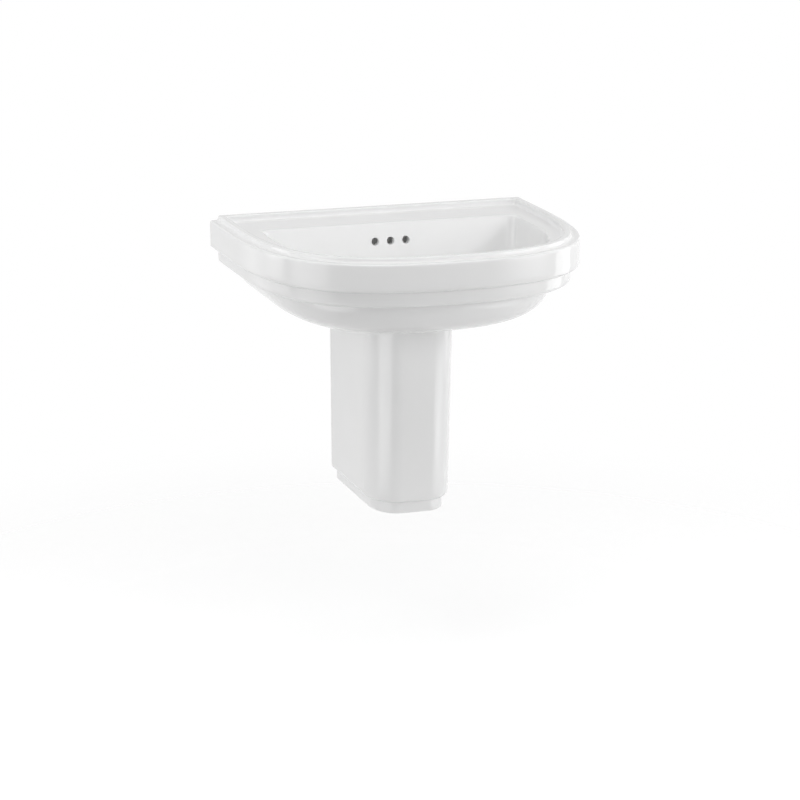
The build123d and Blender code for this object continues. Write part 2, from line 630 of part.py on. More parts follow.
def make_rubber():
    """Rubber sleeve that seals the pipe in its wall socket, with a lip as a stop."""
    inner = PIPE_R + SLIP_GAP
    lip_r = RUBBER_R + RUBBER_LIP
    end = RUBBER_START + RUBBER_LEN
    return turned_to_wall([(inner, RUBBER_START - RUBBER_LIP), (lip_r, RUBBER_START - RUBBER_LIP),
                           (lip_r, RUBBER_START), (RUBBER_R, RUBBER_START), (RUBBER_R, end), (inner, end)],
                          0, BRANCH_Z)


def make_parts():
    """Every piece by name."""
    y = -WASTE_Y
    parts = {"basin": make_basin(), "semi_pedestal": make_pedestal()}

    # Waste and plug
    parts["waste_body"] = make_waste()
    parts["waste_flange_seal"] = ring(WASTE_TUBE_R + SLIP_GAP, FLANGE_R - 1, SEAT, SEAT + FLANGE_SEAL_T, y)
    low = BOSS_LOW - LOW_SEAL_T
    inner = WASTE_TUBE_R + SLIP_GAP
    nut_r = BACK_NUT_AF / 2
    parts["waste_lower_seal"] = turned([(inner, low), (nut_r, low), (nut_r + 3, BOSS_LOW),
                                        (inner, BOSS_LOW)], 0, y)
    hexagon = RegularPolygon(BACK_NUT_AF / 2, 6, major_radius=False) - Circle(WASTE_TUBE_R + THREAD_GAP)
    parts["waste_back_nut"] = Pos(0, y, low - BACK_NUT_H) * extrude(hexagon, amount=BACK_NUT_H)
    parts["plug_cap"] = make_cap()
    seal_r = SEAT_R - SEAL_SIDE_GAP
    parts["plug_seal"] = ring(seal_r - SEAL_RING_W, seal_r, FLANGE_TOP - SEAT_DROP, FLANGE_TOP + CAP_GAP, y)
    parts["plug_plunger"] = make_plunger()
    parts["plug_barrel"] = make_barrel()

    # Bottle trap
    lift = Pos(0, y, 0)
    parts["trap_inlet_nut"] = lift * grip_nut(TRAP_TUBE_R + SLIP_GAP, WASTE_TUBE_R + THREAD_GAP, UNION_LOW,
                                              UNION_LOW + UNION_H, False)
    bore_r = TRAP_TUBE_R - TRAP_TUBE_WALL
    parts["trap_inlet_seal"] = ring(bore_r, COLLAR_R, TUBE_LOW - TRAP_SEAL_T, TUBE_LOW, y)
    top = TUBE_LOW - TRAP_SEAL_T
    collar = top - COLLAR_T
    parts["trap_dip_tube"] = turned([(bore_r, DIP_LOW), (TRAP_TUBE_R, DIP_LOW), (TRAP_TUBE_R, collar),
                                     (COLLAR_R, collar), (COLLAR_R, top), (bore_r, top)], 0, y)
    parts["trap_body"] = make_trap_body()
    parts["trap_body_nut"] = lift * grip_nut(TRAP_TUBE_R + SLIP_GAP, NECK_R + THREAD_GAP,
                                             HEAD_NUT_TOP - HEAD_NUT_H, HEAD_NUT_TOP, True)
    parts["trap_body_seal"] = ring(TRAP_TUBE_R + SLIP_GAP, NECK_R - 1, NECK_TOP, NECK_TOP + TRAP_SEAL_T, y)
    parts["trap_cup"] = make_cup()
    parts["trap_cup_seal"] = ring(HEAD_R - HEAD_WALL + SEAL_EASE, HEAD_R - SEAL_EASE,
                                  CHAMBER_LOW - CUP_SEAL_T, CHAMBER_LOW, y)
    nut = grip_nut(PIPE_R + SLIP_GAP, NECK_R + THREAD_GAP, -HEAD_NUT_H, 0, True)
    seat_y = y + HEAD_R + BRANCH_LEN
    far_y = seat_y + TRAP_SEAL_T + UNION_LIP
    parts["trap_outlet_nut"] = Pos(0, far_y, BRANCH_Z) * Rot(-90, 0, 0) * nut
    parts["trap_outlet_seal"] = turned_to_wall([(PIPE_R + SLIP_GAP, seat_y), (NECK_R - 1, seat_y),
                                                (NECK_R - 1, seat_y + TRAP_SEAL_T),
                                                (PIPE_R + SLIP_GAP, seat_y + TRAP_SEAL_T)], 0, BRANCH_Z)
    start = seat_y - SOCKET + PIPE_END_GAP
    pipe_bore = PIPE_R - PIPE_WALL
    parts["outlet_pipe"] = turned_to_wall([(pipe_bore, start), (PIPE_R, start), (PIPE_R, PIPE_IN_WALL),
                                           (pipe_bore, PIPE_IN_WALL)], 0, BRANCH_Z)
    parts["wall_rosette"] = make_rosette()
    parts["outlet_rubber"] = make_rubber()

    # Fixings of the basin and of the half pedestal, in pairs
    for name, half, z, radius, screw_r, in_wall, seat, flange_r, washer_r, washer_t, across, height in (
        ("wall", STUD_PITCH / 2, 0, STUD_R, STUD_SCREW_R, STUD_IN_WALL, BACK_PLATE, SLEEVE_FLANGE_R,
         WASHER_R, WASHER_T, NUT_AF, NUT_H),
        ("pedestal", PED_STUD_PITCH / 2, PED_STUD_Z, PED_STUD_R, PED_STUD_SCREW_R, PED_STUD_IN_WALL, LUG_T,
         PED_SLEEVE_FLANGE_R, PED_WASHER_R, PED_WASHER_T, PED_NUT_AF, PED_NUT_H),
    ):
        pair = (-half, half)
        parts[name + "_studs"] = [make_stud(x, z, radius, screw_r, in_wall, seat, washer_t, height)
                                  for x in pair]
        parts[name + "_sleeves"] = [make_sleeve(x, z, radius, seat, flange_r) for x in pair]
        parts[name + "_washers"] = [make_washer(x, z, radius, seat, washer_r, washer_t) for x in pair]
        parts[name + "_nuts"] = [make_nut(x, z, radius, seat, washer_t, across, height) for x in pair]
    pad_x = PED_TOP_W / 2 - PED_WALL / 2
    pad_y = -PAD_START - PAD_LEN / 2
    pad = Pos(0, pad_y, PED_TOP + PAD_T / 2) * Box(PAD_W, PAD_LEN, PAD_T)
    parts["pedestal_pads"] = [Pos(s * pad_x, 0, 0) * pad for s in (-1, 1)]
    return parts


os.makedirs("parts", exist_ok=True)
for node, shape in make_parts().items():
    solid = Compound(children=shape) if isinstance(shape, list) else shape
    export_step(solid, "parts/" + node + ".step")
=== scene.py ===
import json
import logging
import math
from dataclasses import dataclass
from enum import Enum
from typing import Any, Callable, Optional, Sequence, Union

import bmesh
import bpy
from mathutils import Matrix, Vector

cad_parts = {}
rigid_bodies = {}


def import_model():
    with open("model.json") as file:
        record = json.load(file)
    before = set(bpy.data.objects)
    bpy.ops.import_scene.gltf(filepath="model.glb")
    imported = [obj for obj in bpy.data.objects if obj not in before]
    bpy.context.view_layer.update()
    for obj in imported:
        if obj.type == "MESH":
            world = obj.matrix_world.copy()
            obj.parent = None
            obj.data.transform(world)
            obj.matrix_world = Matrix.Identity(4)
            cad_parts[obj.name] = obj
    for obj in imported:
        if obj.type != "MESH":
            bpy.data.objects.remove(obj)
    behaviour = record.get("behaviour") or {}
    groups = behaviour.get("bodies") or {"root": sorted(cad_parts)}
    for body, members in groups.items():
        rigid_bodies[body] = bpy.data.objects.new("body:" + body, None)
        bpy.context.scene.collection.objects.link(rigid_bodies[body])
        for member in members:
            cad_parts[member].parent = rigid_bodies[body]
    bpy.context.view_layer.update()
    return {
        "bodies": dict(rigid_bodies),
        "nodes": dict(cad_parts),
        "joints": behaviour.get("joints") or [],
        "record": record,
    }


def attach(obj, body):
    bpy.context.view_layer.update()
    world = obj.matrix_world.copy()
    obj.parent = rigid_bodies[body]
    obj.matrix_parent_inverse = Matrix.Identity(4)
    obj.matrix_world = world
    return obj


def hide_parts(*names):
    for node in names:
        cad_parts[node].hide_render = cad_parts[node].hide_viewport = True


frame: dict[str, Any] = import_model()
MM = 0.001
WHITE = (1.0, 1.0, 1.0, 1.0)
log = logging.getLogger("washbasin")

Colour = tuple[float, float, float]
Operand = Union["Field", float]
Points = list[Vector]


class Field:
    """A shader value that takes part in Python arithmetic."""

    def __init__(self, board: "Board", socket: bpy.types.NodeSocket) -> None:
        """Keeps the socket and the board that its nodes go on."""
        self.board = board
        self.socket = socket

    def _math(self, operation: str, first: Operand, second: Operand) -> "Field":
        """Adds one Math node.

        Args:
            operation: Name of the node's operation.
            first: First value.
            second: Second value.

        Returns:
            The node's result.
        """
        node = self.board.node("ShaderNodeMath", {"operation": operation}, {0: first, 1: second})
        return Field(self.board, node.outputs[0])

    def __add__(self, other: Operand) -> "Field":
        """Sum."""
        return self._math("ADD", self, other)

    def __radd__(self, other: Operand) -> "Field":
        """Sum, with the number first."""
        return self._math("ADD", other, self)

    def __sub__(self, other: Operand) -> "Field":
        """Difference."""
        return self._math("SUBTRACT", self, other)

    def __rsub__(self, other: Operand) -> "Field":
        """Difference, with the number first."""
        return self._math("SUBTRACT", other, self)

    def __mul__(self, other: Operand) -> "Field":
        """Product."""
        return self._math("MULTIPLY", self, other)

    def __rmul__(self, other: Operand) -> "Field":
        """Product, with the number first."""
        return self._math("MULTIPLY", other, self)

    def most(self, other: Operand) -> "Field":
        """The larger of two values."""
        return self._math("MAXIMUM", self, other)

    def step(self, low: float, high: float) -> "Field":
        """Smooth rise from 0 to 1.

        Args:
            low: Value where the rise starts.
            high: Value where it ends.

        Returns:
            The share, from 0 to 1.
        """
        node = self.board.node("ShaderNodeMapRange", {"interpolation_type": "SMOOTHSTEP"},
                               {"Value": self, "From Min": low, "From Max": high})
        return Field(self.board, node.outputs["Result"])


class Board:
    """One node tree and the ways to add to it."""

    def __init__(self, tree: bpy.types.NodeTree) -> None:
        """Keeps the tree and empties it."""
        self.tree = tree
        self.tree.nodes.clear()

    def node(self, kind: str, settings: Optional[dict[str, Any]] = None,
             sockets: Optional[dict[Union[str, int], Any]] = None) -> bpy.types.Node:
        """Adds one node.

        Args:
            kind: Type name of the node.
            settings: Its own settings, set first.
            sockets: Values or links of its inputs, by name or number.

        Returns:
            The new node.
        """
        made = self.tree.nodes.new(kind)
        for name, value in (settings or {}).items():
            setattr(made, name, value)
        self.feed(made, sockets or {})
        return made

    def feed(self, node: bpy.types.Node, sockets: dict[Union[str, int], Any]) -> None:
        """Sets or links inputs of a node.

        Args:
            node: The node.
            sockets: Values or links of its inputs, by name or number.
        """
        for key, value in sockets.items():
            source = value.socket if isinstance(value, Field) else value
            if isinstance(source, bpy.types.NodeSocket):
                self.tree.links.new(source, node.inputs[key])
            else:
                node.inputs[key].default_value = source

    def field(self, node: bpy.types.Node, output: Union[str, int] = 0) -> Field:
        """One output of a node as a value for arithmetic."""
        return Field(self, node.outputs[output])

    def blend(self, share: Operand, first: Any, second: Any) -> bpy.types.NodeSocket:
        """Mixes two colours.

        Args:
            share: Share of the second colour.
            first: First colour, or the socket that gives it.
            second: Second colour, or the socket that gives it.

        Returns:
            The mixed colour.
        """
        wide = [(*c, 1.0) if isinstance(c, tuple) and len(c) == 3 else c for c in (first, second)]
        node = self.node("ShaderNodeMix", {"data_type": "RGBA"}, {0: share, 6: wide[0], 7: wide[1]})
        return node.outputs[2]

    def noise(self, where: bpy.types.NodeSocket, scale: float, detail: float = 2.0,
              rough: float = 0.5) -> Field:
        """Soft noise over a surface.

        Args:
            where: Coordinates.
            scale: Waves in each metre.
            detail: Number of finer layers.
            rough: Strength of the finer layers.

        Returns:
            The noise, from 0 to 1.
        """
        return self.field(self.node("ShaderNodeTexNoise", {}, {
            "Vector": where, "Scale": scale, "Detail": detail, "Roughness": rough}))


def darker(colour: Colour, share: float) -> Colour:
    """A colour times a share."""
    return tuple(c * share for c in colour)


@dataclass(frozen=True)
class Finish:
    """A surface finish, kept as one material."""

    name: str

    def material(self) -> bpy.types.Material:
        """The finish's material, made at its first use.

        Returns:
            The material.
        """
        known = bpy.data.materials.get(self.name)
        if known is not None:
            return known
        made = bpy.data.materials.new(self.name)
        made.use_nodes = True
        board = Board(made.node_tree)
        shader = board.node("ShaderNodeBsdfPrincipled")
        place = board.node("ShaderNodeTexCoord").outputs["Object"]
        self.paint(board, shader, place)
        board.node("ShaderNodeOutputMaterial", {}, {"Surface": shader.outputs["BSDF"]})
        return made

    def paint(self, board: Board, shader: bpy.types.Node, place: bpy.types.NodeSocket) -> None:
        """Fills the shader's sockets.

        Args:
            board: Board that the nodes go on.
            shader: The shader.
            place: Object coordinates.
        """
        raise NotImplementedError

    @staticmethod
    def bump(board: Board, shader: bpy.types.Node, height: Field, strength: float, depth: float) -> None:
        """Raises the surface a little.

        Args:
            board: Board that the node goes on.
            shader: Shader that takes the normal.
            height: Height, from 0 to 1.
            strength: Share of the effect.
            depth: Height of 1, in metres.
        """
        node = board.node("ShaderNodeBump", {}, {"Height": height, "Strength": strength, "Distance": depth})
        board.feed(shader, {"Normal": node.outputs["Normal"]})


@dataclass(frozen=True)
class Glaze(Finish):
    """White glaze over fired clay, bare and dull on the face that meets the wall."""

    white: Colour = (0.925, 0.926, 0.925)
    thin: Colour = (0.905, 0.906, 0.904)
    clay: Colour = (0.80, 0.79, 0.765)
    rough: float = 0.055
    coat: float = 0.25
    bare_from: float = -0.0012
    bare_to: float = -0.0003
    bare_rough: float = 0.55

    def paint(self, board: Board, shader: bpy.types.Node, place: bpy.types.NodeSocket) -> None:
        """Cloudy white, a faint ripple in the gloss, bare clay at the wall.

        Args:
            board: Board that the nodes go on.
            shader: The shader.
            place: Object coordinates.
        """
        cloud = board.noise(place, 5.0, 3.0)
        grain = board.noise(place, 700.0, 2.0)
        axes = board.node("ShaderNodeSeparateXYZ", {}, {"Vector": place})
        bare = board.field(axes, "Y").step(self.bare_from, self.bare_to)
        tone = board.blend(cloud.step(0.35, 0.75), self.white, self.thin)
        clay = board.blend(grain.step(0.4, 0.7), self.clay, darker(self.clay, 0.92))
        board.feed(shader, {
            "Base Color": board.blend(bare, tone, clay),
            "Roughness": self.rough + 0.03 * cloud + 0.02 * grain + bare * self.bare_rough,
            "IOR": 1.52, "Coat Roughness": 0.02, "Coat Weight": self.coat * (1.0 - bare),
        })
        ripple = board.noise(place, 38.0, 1.0) * (1.0 - bare) + grain * bare
        self.bump(board, shader, ripple, 0.06, 0.0005)


@dataclass(frozen=True)
class Biscuit(Finish):
    """Thin dull glaze inside hollows that nobody sees."""

    colour: Colour = (0.77, 0.765, 0.745)

    def paint(self, board: Board, shader: bpy.types.Node, place: bpy.types.NodeSocket) -> None:
        """Dull off-white with pour marks.

        Args:
            board: Board that the nodes go on.
            shader: The shader.
            place: Object coordinates.
        """
        cloud = board.noise(place, 11.0, 4.0, 0.6)
        grain = board.noise(place, 420.0, 2.0)
        board.feed(shader, {
            "Base Color": board.blend(cloud.step(0.35, 0.7), self.colour, darker(self.colour, 0.9)),
            "Roughness": 0.34 + 0.2 * cloud + 0.08 * grain,
        })
        self.bump(board, shader, 0.6 * cloud + 0.4 * grain, 0.12, 0.0006)


@dataclass(frozen=True)
class Chrome(Finish):
    """Polished chrome with faint wiping marks and water spots."""

    colour: Colour = (0.80, 0.81, 0.82)

    def paint(self, board: Board, shader: bpy.types.Node, place: bpy.types.NodeSocket) -> None:
        """Bright metal, a little duller in spots.

        Args:
            board: Board that the nodes go on.
            shader: The shader.
            place: Object coordinates.
        """
        spots = board.noise(place, 160.0, 3.0).step(0.58, 0.7)
        wipe = board.noise(place, 900.0, 1.0)
        board.feed(shader, {
            "Base Color": board.blend(spots, self.colour, darker(self.colour, 0.93)), "Metallic": 1.0,
            "Roughness": 0.05 + 0.06 * spots + 0.03 * wipe,
        })
        self.bump(board, shader, wipe, 0.03, 0.0002)


@dataclass(frozen=True)
class TurnedMetal(Finish):
    """Bar metal from the lathe, with fine rings round an upright axis and a light tarnish."""

    bright: Colour = (0.78, 0.60, 0.30)
    tarnish: Colour = (0.52, 0.37, 0.16)

    def paint(self, board: Board, shader: bpy.types.Node, place: bpy.types.NodeSocket) -> None:
        """Metal with lathe rings and tarnish in patches.

        Args:
            board: Board that the nodes go on.
            shader: The shader.
            place: Object coordinates.
        """
        rings = board.field(board.node("ShaderNodeTexWave", {"bands_direction": "Z"}, {
            "Vector": place, "Scale": 420.0, "Distortion": 0.6, "Detail": 1.0}), "Fac")
        patch = board.noise(place, 70.0, 4.0, 0.6).step(0.45, 0.75)
        board.feed(shader, {
            "Base Color": board.blend(patch * 0.7, self.bright, self.tarnish), "Metallic": 1.0,
            "Roughness": 0.2 + 0.18 * patch + 0.06 * rings,
        })
        self.bump(board, shader, rings, 0.15, 0.0001)


@dataclass(frozen=True)
class ZincPlate(Finish):
    """Zinc plate with a faint blue and straw cast."""

    pale: Colour = (0.62, 0.63, 0.64)
    straw: Colour = (0.60, 0.57, 0.48)

    def paint(self, board: Board, shader: bpy.types.Node, place: bpy.types.NodeSocket) -> None:
        """Dull metal with a mottled cast.

        Args:
            board: Board that the nodes go on.
            shader: The shader.
            place: Object coordinates.
        """
        cast = board.noise(place, 85.0, 3.0)
        grain = board.noise(place, 1500.0, 2.0)
        board.feed(shader, {
            "Base Color": board.blend(cast.step(0.4, 0.7), self.pale, self.straw), "Metallic": 1.0,
            "Roughness": 0.28 + 0.14 * cast + 0.08 * grain,
        })
        self.bump(board, shader, grain, 0.1, 0.00015)


@dataclass(frozen=True)
class Moulded(Finish):
    """Moulded plastic or rubber with a fine skin."""

    colour: Colour = (0.82, 0.82, 0.79)
    shade: Colour = (0.77, 0.765, 0.73)
    rough: float = 0.3
    grain_scale: float = 1400.0
    grain_depth: float = 0.00012

    def paint(self, board: Board, shader: bpy.types.Node, place: bpy.types.NodeSocket) -> None:
        """Even colour with flow marks and a fine grain.

        Args:
            board: Board that the nodes go on.
            shader: The shader.
            place: Object coordinates.
        """
        flow = board.noise(place, 30.0, 3.0)
        grain = board.noise(place, self.grain_scale, 2.0)
        board.feed(shader, {
            "Base Color": board.blend(flow.step(0.35, 0.7), self.colour, self.shade),
            "Roughness": self.rough + 0.1 * flow + 0.06 * grain,
        })
        self.bump(board, shader, grain, 0.15, self.grain_depth)


CHINA = Glaze("white_glaze")
HOLLOW = Biscuit("dull_glaze")
CHANNEL = Biscuit("channel_glaze", (0.92, 0.918, 0.91))
CHROME = Chrome("polished_chrome")
BRASS = TurnedMetal("turned_brass")
ZINC = ZincPlate("zinc_plate")
WHITE_PLASTIC = Moulded("white_plastic")
GREY_PLASTIC = Moulded("grey_plastic", (0.34, 0.345, 0.35), (0.29, 0.29, 0.295), 0.42)
RUBBER = Moulded("black_rubber", (0.028, 0.028, 0.029), (0.04, 0.04, 0.041), 0.6, 900.0, 0.0002)
BY_SLOT: dict[str, Finish] = {
    "white_china": CHINA, "chrome": CHROME, "brass": BRASS, "zinc_steel": ZINC,
    "white_plastic": WHITE_PLASTIC, "grey_plastic": GREY_PLASTIC, "black_rubber": RUBBER,
}


class Corner(Enum):
    """How the two back corners of a plan are made."""

    SHARP = "sharp"
    ROUND = "round"


class Work(Enum):
    """What a block does to a casting."""

    JOIN = "UNION"
    CUT = "DIFFERENCE"
    COMMON = "INTERSECT"


BACK_STEPS = 30
CORNER_STEPS = 6
SIDE_STEPS = 14
FRONT_STEPS = 60
BEND_SHARE = 0.75          # of the front's steps, in the rounded corner of a U
BACK_CORNER = 6.0          # mm of a plan's back corner that have their own points
ARC_PULL = 4 / 3 * (math.sqrt(2) - 1)
FINE_PIECES = 1500         # short pieces that a section is measured with
OVERCUT = 1.0              # mm that a cutter stands past a face
ROUND_SIDES = 96
BORE_SIDES = 48
CASTING_EDGE = 33.0        # degrees past which an edge of a casting is sharp
THREAD_EDGE = 50.0


def mirrored(half: list[tuple[float, float]], z: float) -> Points:
    """Closes half a plan to a whole ring.

    Args:
        half: X and Y from the middle of the back, round the right side, to the middle of the front, in mm.
        z: Height, in mm.

    Returns:
        The ring's points, in metres.
    """
    whole = half + [(-x, y) for x, y in reversed(half[1:-1])]
    return [Vector((x, y, z)) * MM for x, y in whole]


def bezier(ends: Sequence[tuple[float, float]], share: float) -> tuple[float, float]:
    """Point on a cubic curve.

    Args:
        ends: The four control points.
        share: Place on the curve, from 0 to 1.

    Returns:
        X and Y.
    """
    rest = 1.0 - share
    weights = (rest ** 3, 3 * rest * rest * share, 3 * rest * share * share, share ** 3)
    return sum(w * p[0] for w, p in zip(weights, ends)), sum(w * p[1] for w, p in zip(weights, ends))


def back_and_side(half_w: float, back: float, corner: float, form: Corner,
                  side: float) -> list[tuple[float, float]]:
    """First part of half a plan, along the back, round the corner and down the side.

    Args:
        half_w: Half the width, in mm.
        back: Back line, from the wall.
        corner: Size of the back corner.
        form: How the corner is made.
        side: End of the straight side, from the wall.

    Returns:
        X and Y of the points.
    """
    half = [((half_w - corner) * k / BACK_STEPS, -back) for k in range(BACK_STEPS)]
    middle = CORNER_STEPS // 2
    for j in range(CORNER_STEPS):
        turn = math.pi / 2 * j / CORNER_STEPS
        if form is Corner.ROUND:
            half.append((half_w - corner + corner * math.sin(turn),
                         -back - corner + corner * math.cos(turn)))
        elif j < middle:
            half.append((half_w - corner + corner * j / middle, -back))
        else:
            half.append((half_w, -back - corner * (j - middle) / (CORNER_STEPS - middle)))
    start = back + corner
    half += [(half_w, -start - (side - start) * j / SIDE_STEPS) for j in range(SIDE_STEPS)]
    return half


def d_ring(half_w: float, front: float, side: float, full: float, z: float, corner: float = BACK_CORNER,
           form: Corner = Corner.SHARP, back: float = 0.0) -> Points:
    """Flat back, straight sides and a full rounded front.

    Args:
        half_w: Half the width, in mm.
        front: Front, from the wall.
        side: Straight part of each side, from the back line.
        full: Fullness of the front.
        z: Height.
        corner: Size of the back corners.
        form: How they are made.
        back: Back line, from the wall.

    Returns:
        The ring's points, in metres.
    """
    half = back_and_side(half_w, back, corner, form, back + side)
    depth = front - back
    pull = -back - side - full * (depth - side)
    ends = ((half_w, -back - side), (half_w, pull), (full * half_w, -front), (0.0, -front))
    half += [bezier(ends, j / FRONT_STEPS) for j in range(FRONT_STEPS + 1)]
    return mirrored(half, z)


def u_ring(half_w: float, front: float, run_x: float, run_y: float, z: float, back: float = 0.0) -> Points:
    """Flat back, straight sides and a front with long rounded corners.

    Args:
        half_w: Half the width, in mm.
        front: Front, from the wall.
        run_x: Rounded corner, along the front.
        run_y: Rounded corner, along the side.
        z: Height.
        back: Back line, from the wall.

    Returns:
        The ring's points, in metres.
    """
    half = back_and_side(half_w, back, BACK_CORNER, Corner.SHARP, front - run_y)
    flat = half_w - run_x
    side = -(front - run_y)
    ends = ((half_w, side), (half_w, side - ARC_PULL * run_y),
            (flat + ARC_PULL * run_x, -front), (flat, -front))
    curved = int(FRONT_STEPS * BEND_SHARE)
    half += [bezier(ends, j / curved) for j in range(curved)]
    straight = FRONT_STEPS - curved
    half += [(flat * (1 - j / straight), -front) for j in range(straight + 1)]
    return mirrored(half, z)


def between(first: Points, second: Points, count: int) -> list[Points]:
    """Rings spread evenly between two others.

    Args:
        first: First ring.
        second: Last ring.
        count: Number of steps.

    Returns:
        The rings after the first, with the last among them.
    """
    return [[a.lerp(b, k / count) for a, b in zip(first, second)] for k in range(1, count + 1)]


def bend(radius: float, count: int) -> list[tuple[float, float]]:
    """Points of a quarter bend, without the first.

    Args:
        radius: Radius of the bend.
        count: Number of points.

    Returns:
        What is left of the radius one way, and what is gone of it the other way.
    """
    angles = [math.pi / 2 * k / count for k in range(1, count + 1)]
    return [(radius * (1 - math.sin(a)), radius * (1 - math.cos(a))) for a in angles]


def even_angles(section: Callable[[float], tuple[float, float]], start: float, count: int) -> list[float]:
    """Angles that cut a rounded section into pieces of one length.

    Args:
        section: Gives two coordinates of the section at an angle.
        start: First angle. The last is a quarter turn.
        count: Number of pieces.

    Returns:
        The angles after the first.
    """
    angles = [start + (math.pi / 2 - start) * k / FINE_PIECES for k in range(FINE_PIECES + 1)]
    marks = [0.0]
    for before, after in zip(angles, angles[1:]):
        (a, b), (c, d) = section(before), section(after)
        marks.append(marks[-1] + math.hypot(c - a, d - b))
    picked, place = [], 0
    for k in range(1, count):
        while marks[place] < marks[-1] * k / count:
            place += 1
        picked.append(angles[place])
    return picked + [math.pi / 2]


def select_only(piece: bpy.types.Object) -> None:
    """Makes one object the only selected and active one.

    Args:
        piece: The object.
    """
    bpy.ops.object.select_all(action="DESELECT")
    piece.select_set(True)
    bpy.context.view_layer.objects.active = piece


class RingSkin:
    """A mesh that grows ring by ring from one closed loop, in edit mode."""

    def __init__(self, name: str, first: Points) -> None:
        """Starts from a circle and pulls it to the first ring.

        Args:
            name: Name of the piece.
            first: The first ring.
        """
        bpy.ops.object.select_all(action="DESELECT")
        bpy.ops.mesh.primitive_circle_add(vertices=len(first), radius=1.0)
        self.piece = bpy.context.object
        self.piece.name = name
        self.count = len(first)
        bpy.ops.object.mode_set(mode="EDIT")
        bpy.ops.mesh.select_mode(type="VERT")
        mesh = bmesh.from_edit_mesh(self.piece.data)
        mesh.verts.layers.int.new("place")
        mesh.verts.layers.int.new("ring")
        layer = mesh.verts.layers.int["place"]
        mesh.verts.ensure_lookup_table()
        for number, vert in enumerate(mesh.verts):
            vert[layer] = number
            vert.co = first[number]
        bmesh.update_edit_mesh(self.piece.data)
        self.rings = 0

    def grow(self, rings: Sequence[Points]) -> None:
        """Extrudes what is selected, one ring after another.

        Args:
            rings: The rings, in order.
        """
        for ring in rings:
            bpy.ops.mesh.extrude_region_move()
            self.rings += 1
            mesh = bmesh.from_edit_mesh(self.piece.data)
            place = mesh.verts.layers.int["place"]
            number = mesh.verts.layers.int["ring"]
            for vert in mesh.verts:
                if vert.select:
                    vert.co = ring[vert[place]]
                    vert[number] = self.rings
            bmesh.update_edit_mesh(self.piece.data)

    def cap(self) -> None:
        """Closes the selected loop with one face."""
        bpy.ops.mesh.edge_face_add()

    def pick_open_part(self) -> None:
        """Selects the first ring from one back corner, round the front, to the other."""
        bpy.ops.mesh.select_all(action="DESELECT")
        mesh = bmesh.from_edit_mesh(self.piece.data)
        place = mesh.verts.layers.int["place"]
        number = mesh.verts.layers.int["ring"]
        start = BACK_STEPS + CORNER_STEPS // 2
        end = self.count - start
        for edge in mesh.edges:
            spots = sorted(v[place] for v in edge.verts)
            if all(v[number] == 0 for v in edge.verts) and spots[0] >= start and spots[1] <= end:
                edge.select_set(True)
        bmesh.update_edit_mesh(self.piece.data)

    def close(self) -> bpy.types.Object:
        """Fills the flat back, turns all faces outwards and leaves edit mode.

        Returns:
            The closed piece.
        """
        bpy.ops.mesh.select_all(action="DESELECT")
        bpy.ops.mesh.select_mode(type="EDGE")
        bpy.ops.mesh.select_non_manifold(extend=False, use_wire=False, use_boundary=True,
                                         use_multi_face=False, use_non_contiguous=False, use_verts=False)
        bpy.ops.mesh.edge_face_add()
        bpy.ops.mesh.select_all(action="SELECT")
        bpy.ops.mesh.normals_make_consistent(inside=False)
        bpy.ops.object.mode_set(mode="OBJECT")
        return self.piece


class Joinery:
    """Blocks and tubes that are added to a casting or cut from it."""

    @staticmethod
    def block(outline: Points, run: Vector) -> bpy.types.Object:
        """Straight block.

        Args:
            outline: Closed outline of one end.
            run: Way to the other end.

        Returns:
            The block.
        """
        bpy.ops.object.select_all(action="DESELECT")
        bpy.ops.mesh.primitive_circle_add(vertices=len(outline), radius=1.0, fill_type="NGON")
        made = bpy.context.object
        for vert, point in zip(made.data.vertices, outline):
            vert.co = point
        bpy.ops.object.mode_set(mode="EDIT")
        bpy.ops.mesh.select_all(action="SELECT")
        bpy.ops.mesh.extrude_region_move(TRANSFORM_OT_translate={"value": run})
        bpy.ops.mesh.select_all(action="SELECT")
        bpy.ops.mesh.normals_make_consistent(inside=False)
        bpy.ops.object.mode_set(mode="OBJECT")
        return made

    @staticmethod
    def box(low: Sequence[float], high: Sequence[float]) -> bpy.types.Object:
        """Rectangular block.

        Args:
            low: Lowest corner, in mm.
            high: Highest corner.

        Returns:
            The block.
        """
        corners = ((low[0], low[1]), (high[0], low[1]), (high[0], high[1]), (low[0], high[1]))
        outline = [Vector((x, y, low[2])) * MM for x, y in corners]
        return Joinery.block(outline, Vector((0, 0, high[2] - low[2])) * MM)

    @staticmethod
    def rod(centre: Sequence[float], radius: float, run: Sequence[float], sides: int) -> bpy.types.Object:
        """Round block along an axis.

        Args:
            centre: Middle of one end, in mm.
            radius: Radius.
            run: Way to the other end, along Y or Z.
            sides: Number of sides.

        Returns:
            The block.
        """
        outline = []
        for k in range(sides):
            turn = 2 * math.pi * k / sides
            across, up = radius * math.cos(turn), radius * math.sin(turn)
            point = (across, 0, up) if run[1] else (across, up, 0)
            outline.append((Vector(centre) + Vector(point)) * MM)
        return Joinery.block(outline, Vector(run) * MM)

    @staticmethod
    def work(piece: bpy.types.Object, tool: bpy.types.Object, how: Work, finish: Finish) -> None:
        """Joins a block to a piece, or cuts it away.

        Args:
            piece: Piece that is changed.
            tool: Block, used up.
            how: What the block does.
            finish: Finish of the faces that the block leaves.
        """
        tool.data.materials.clear()
        tool.data.materials.append(finish.material())
        select_only(piece)
        modifier = piece.modifiers.new("joinery", "BOOLEAN")
        modifier.operation = how.value
        modifier.solver = "EXACT"
        modifier.material_mode = "TRANSFER"
        modifier.object = tool
        bpy.ops.object.modifier_apply(modifier=modifier.name)
        bpy.data.objects.remove(tool)


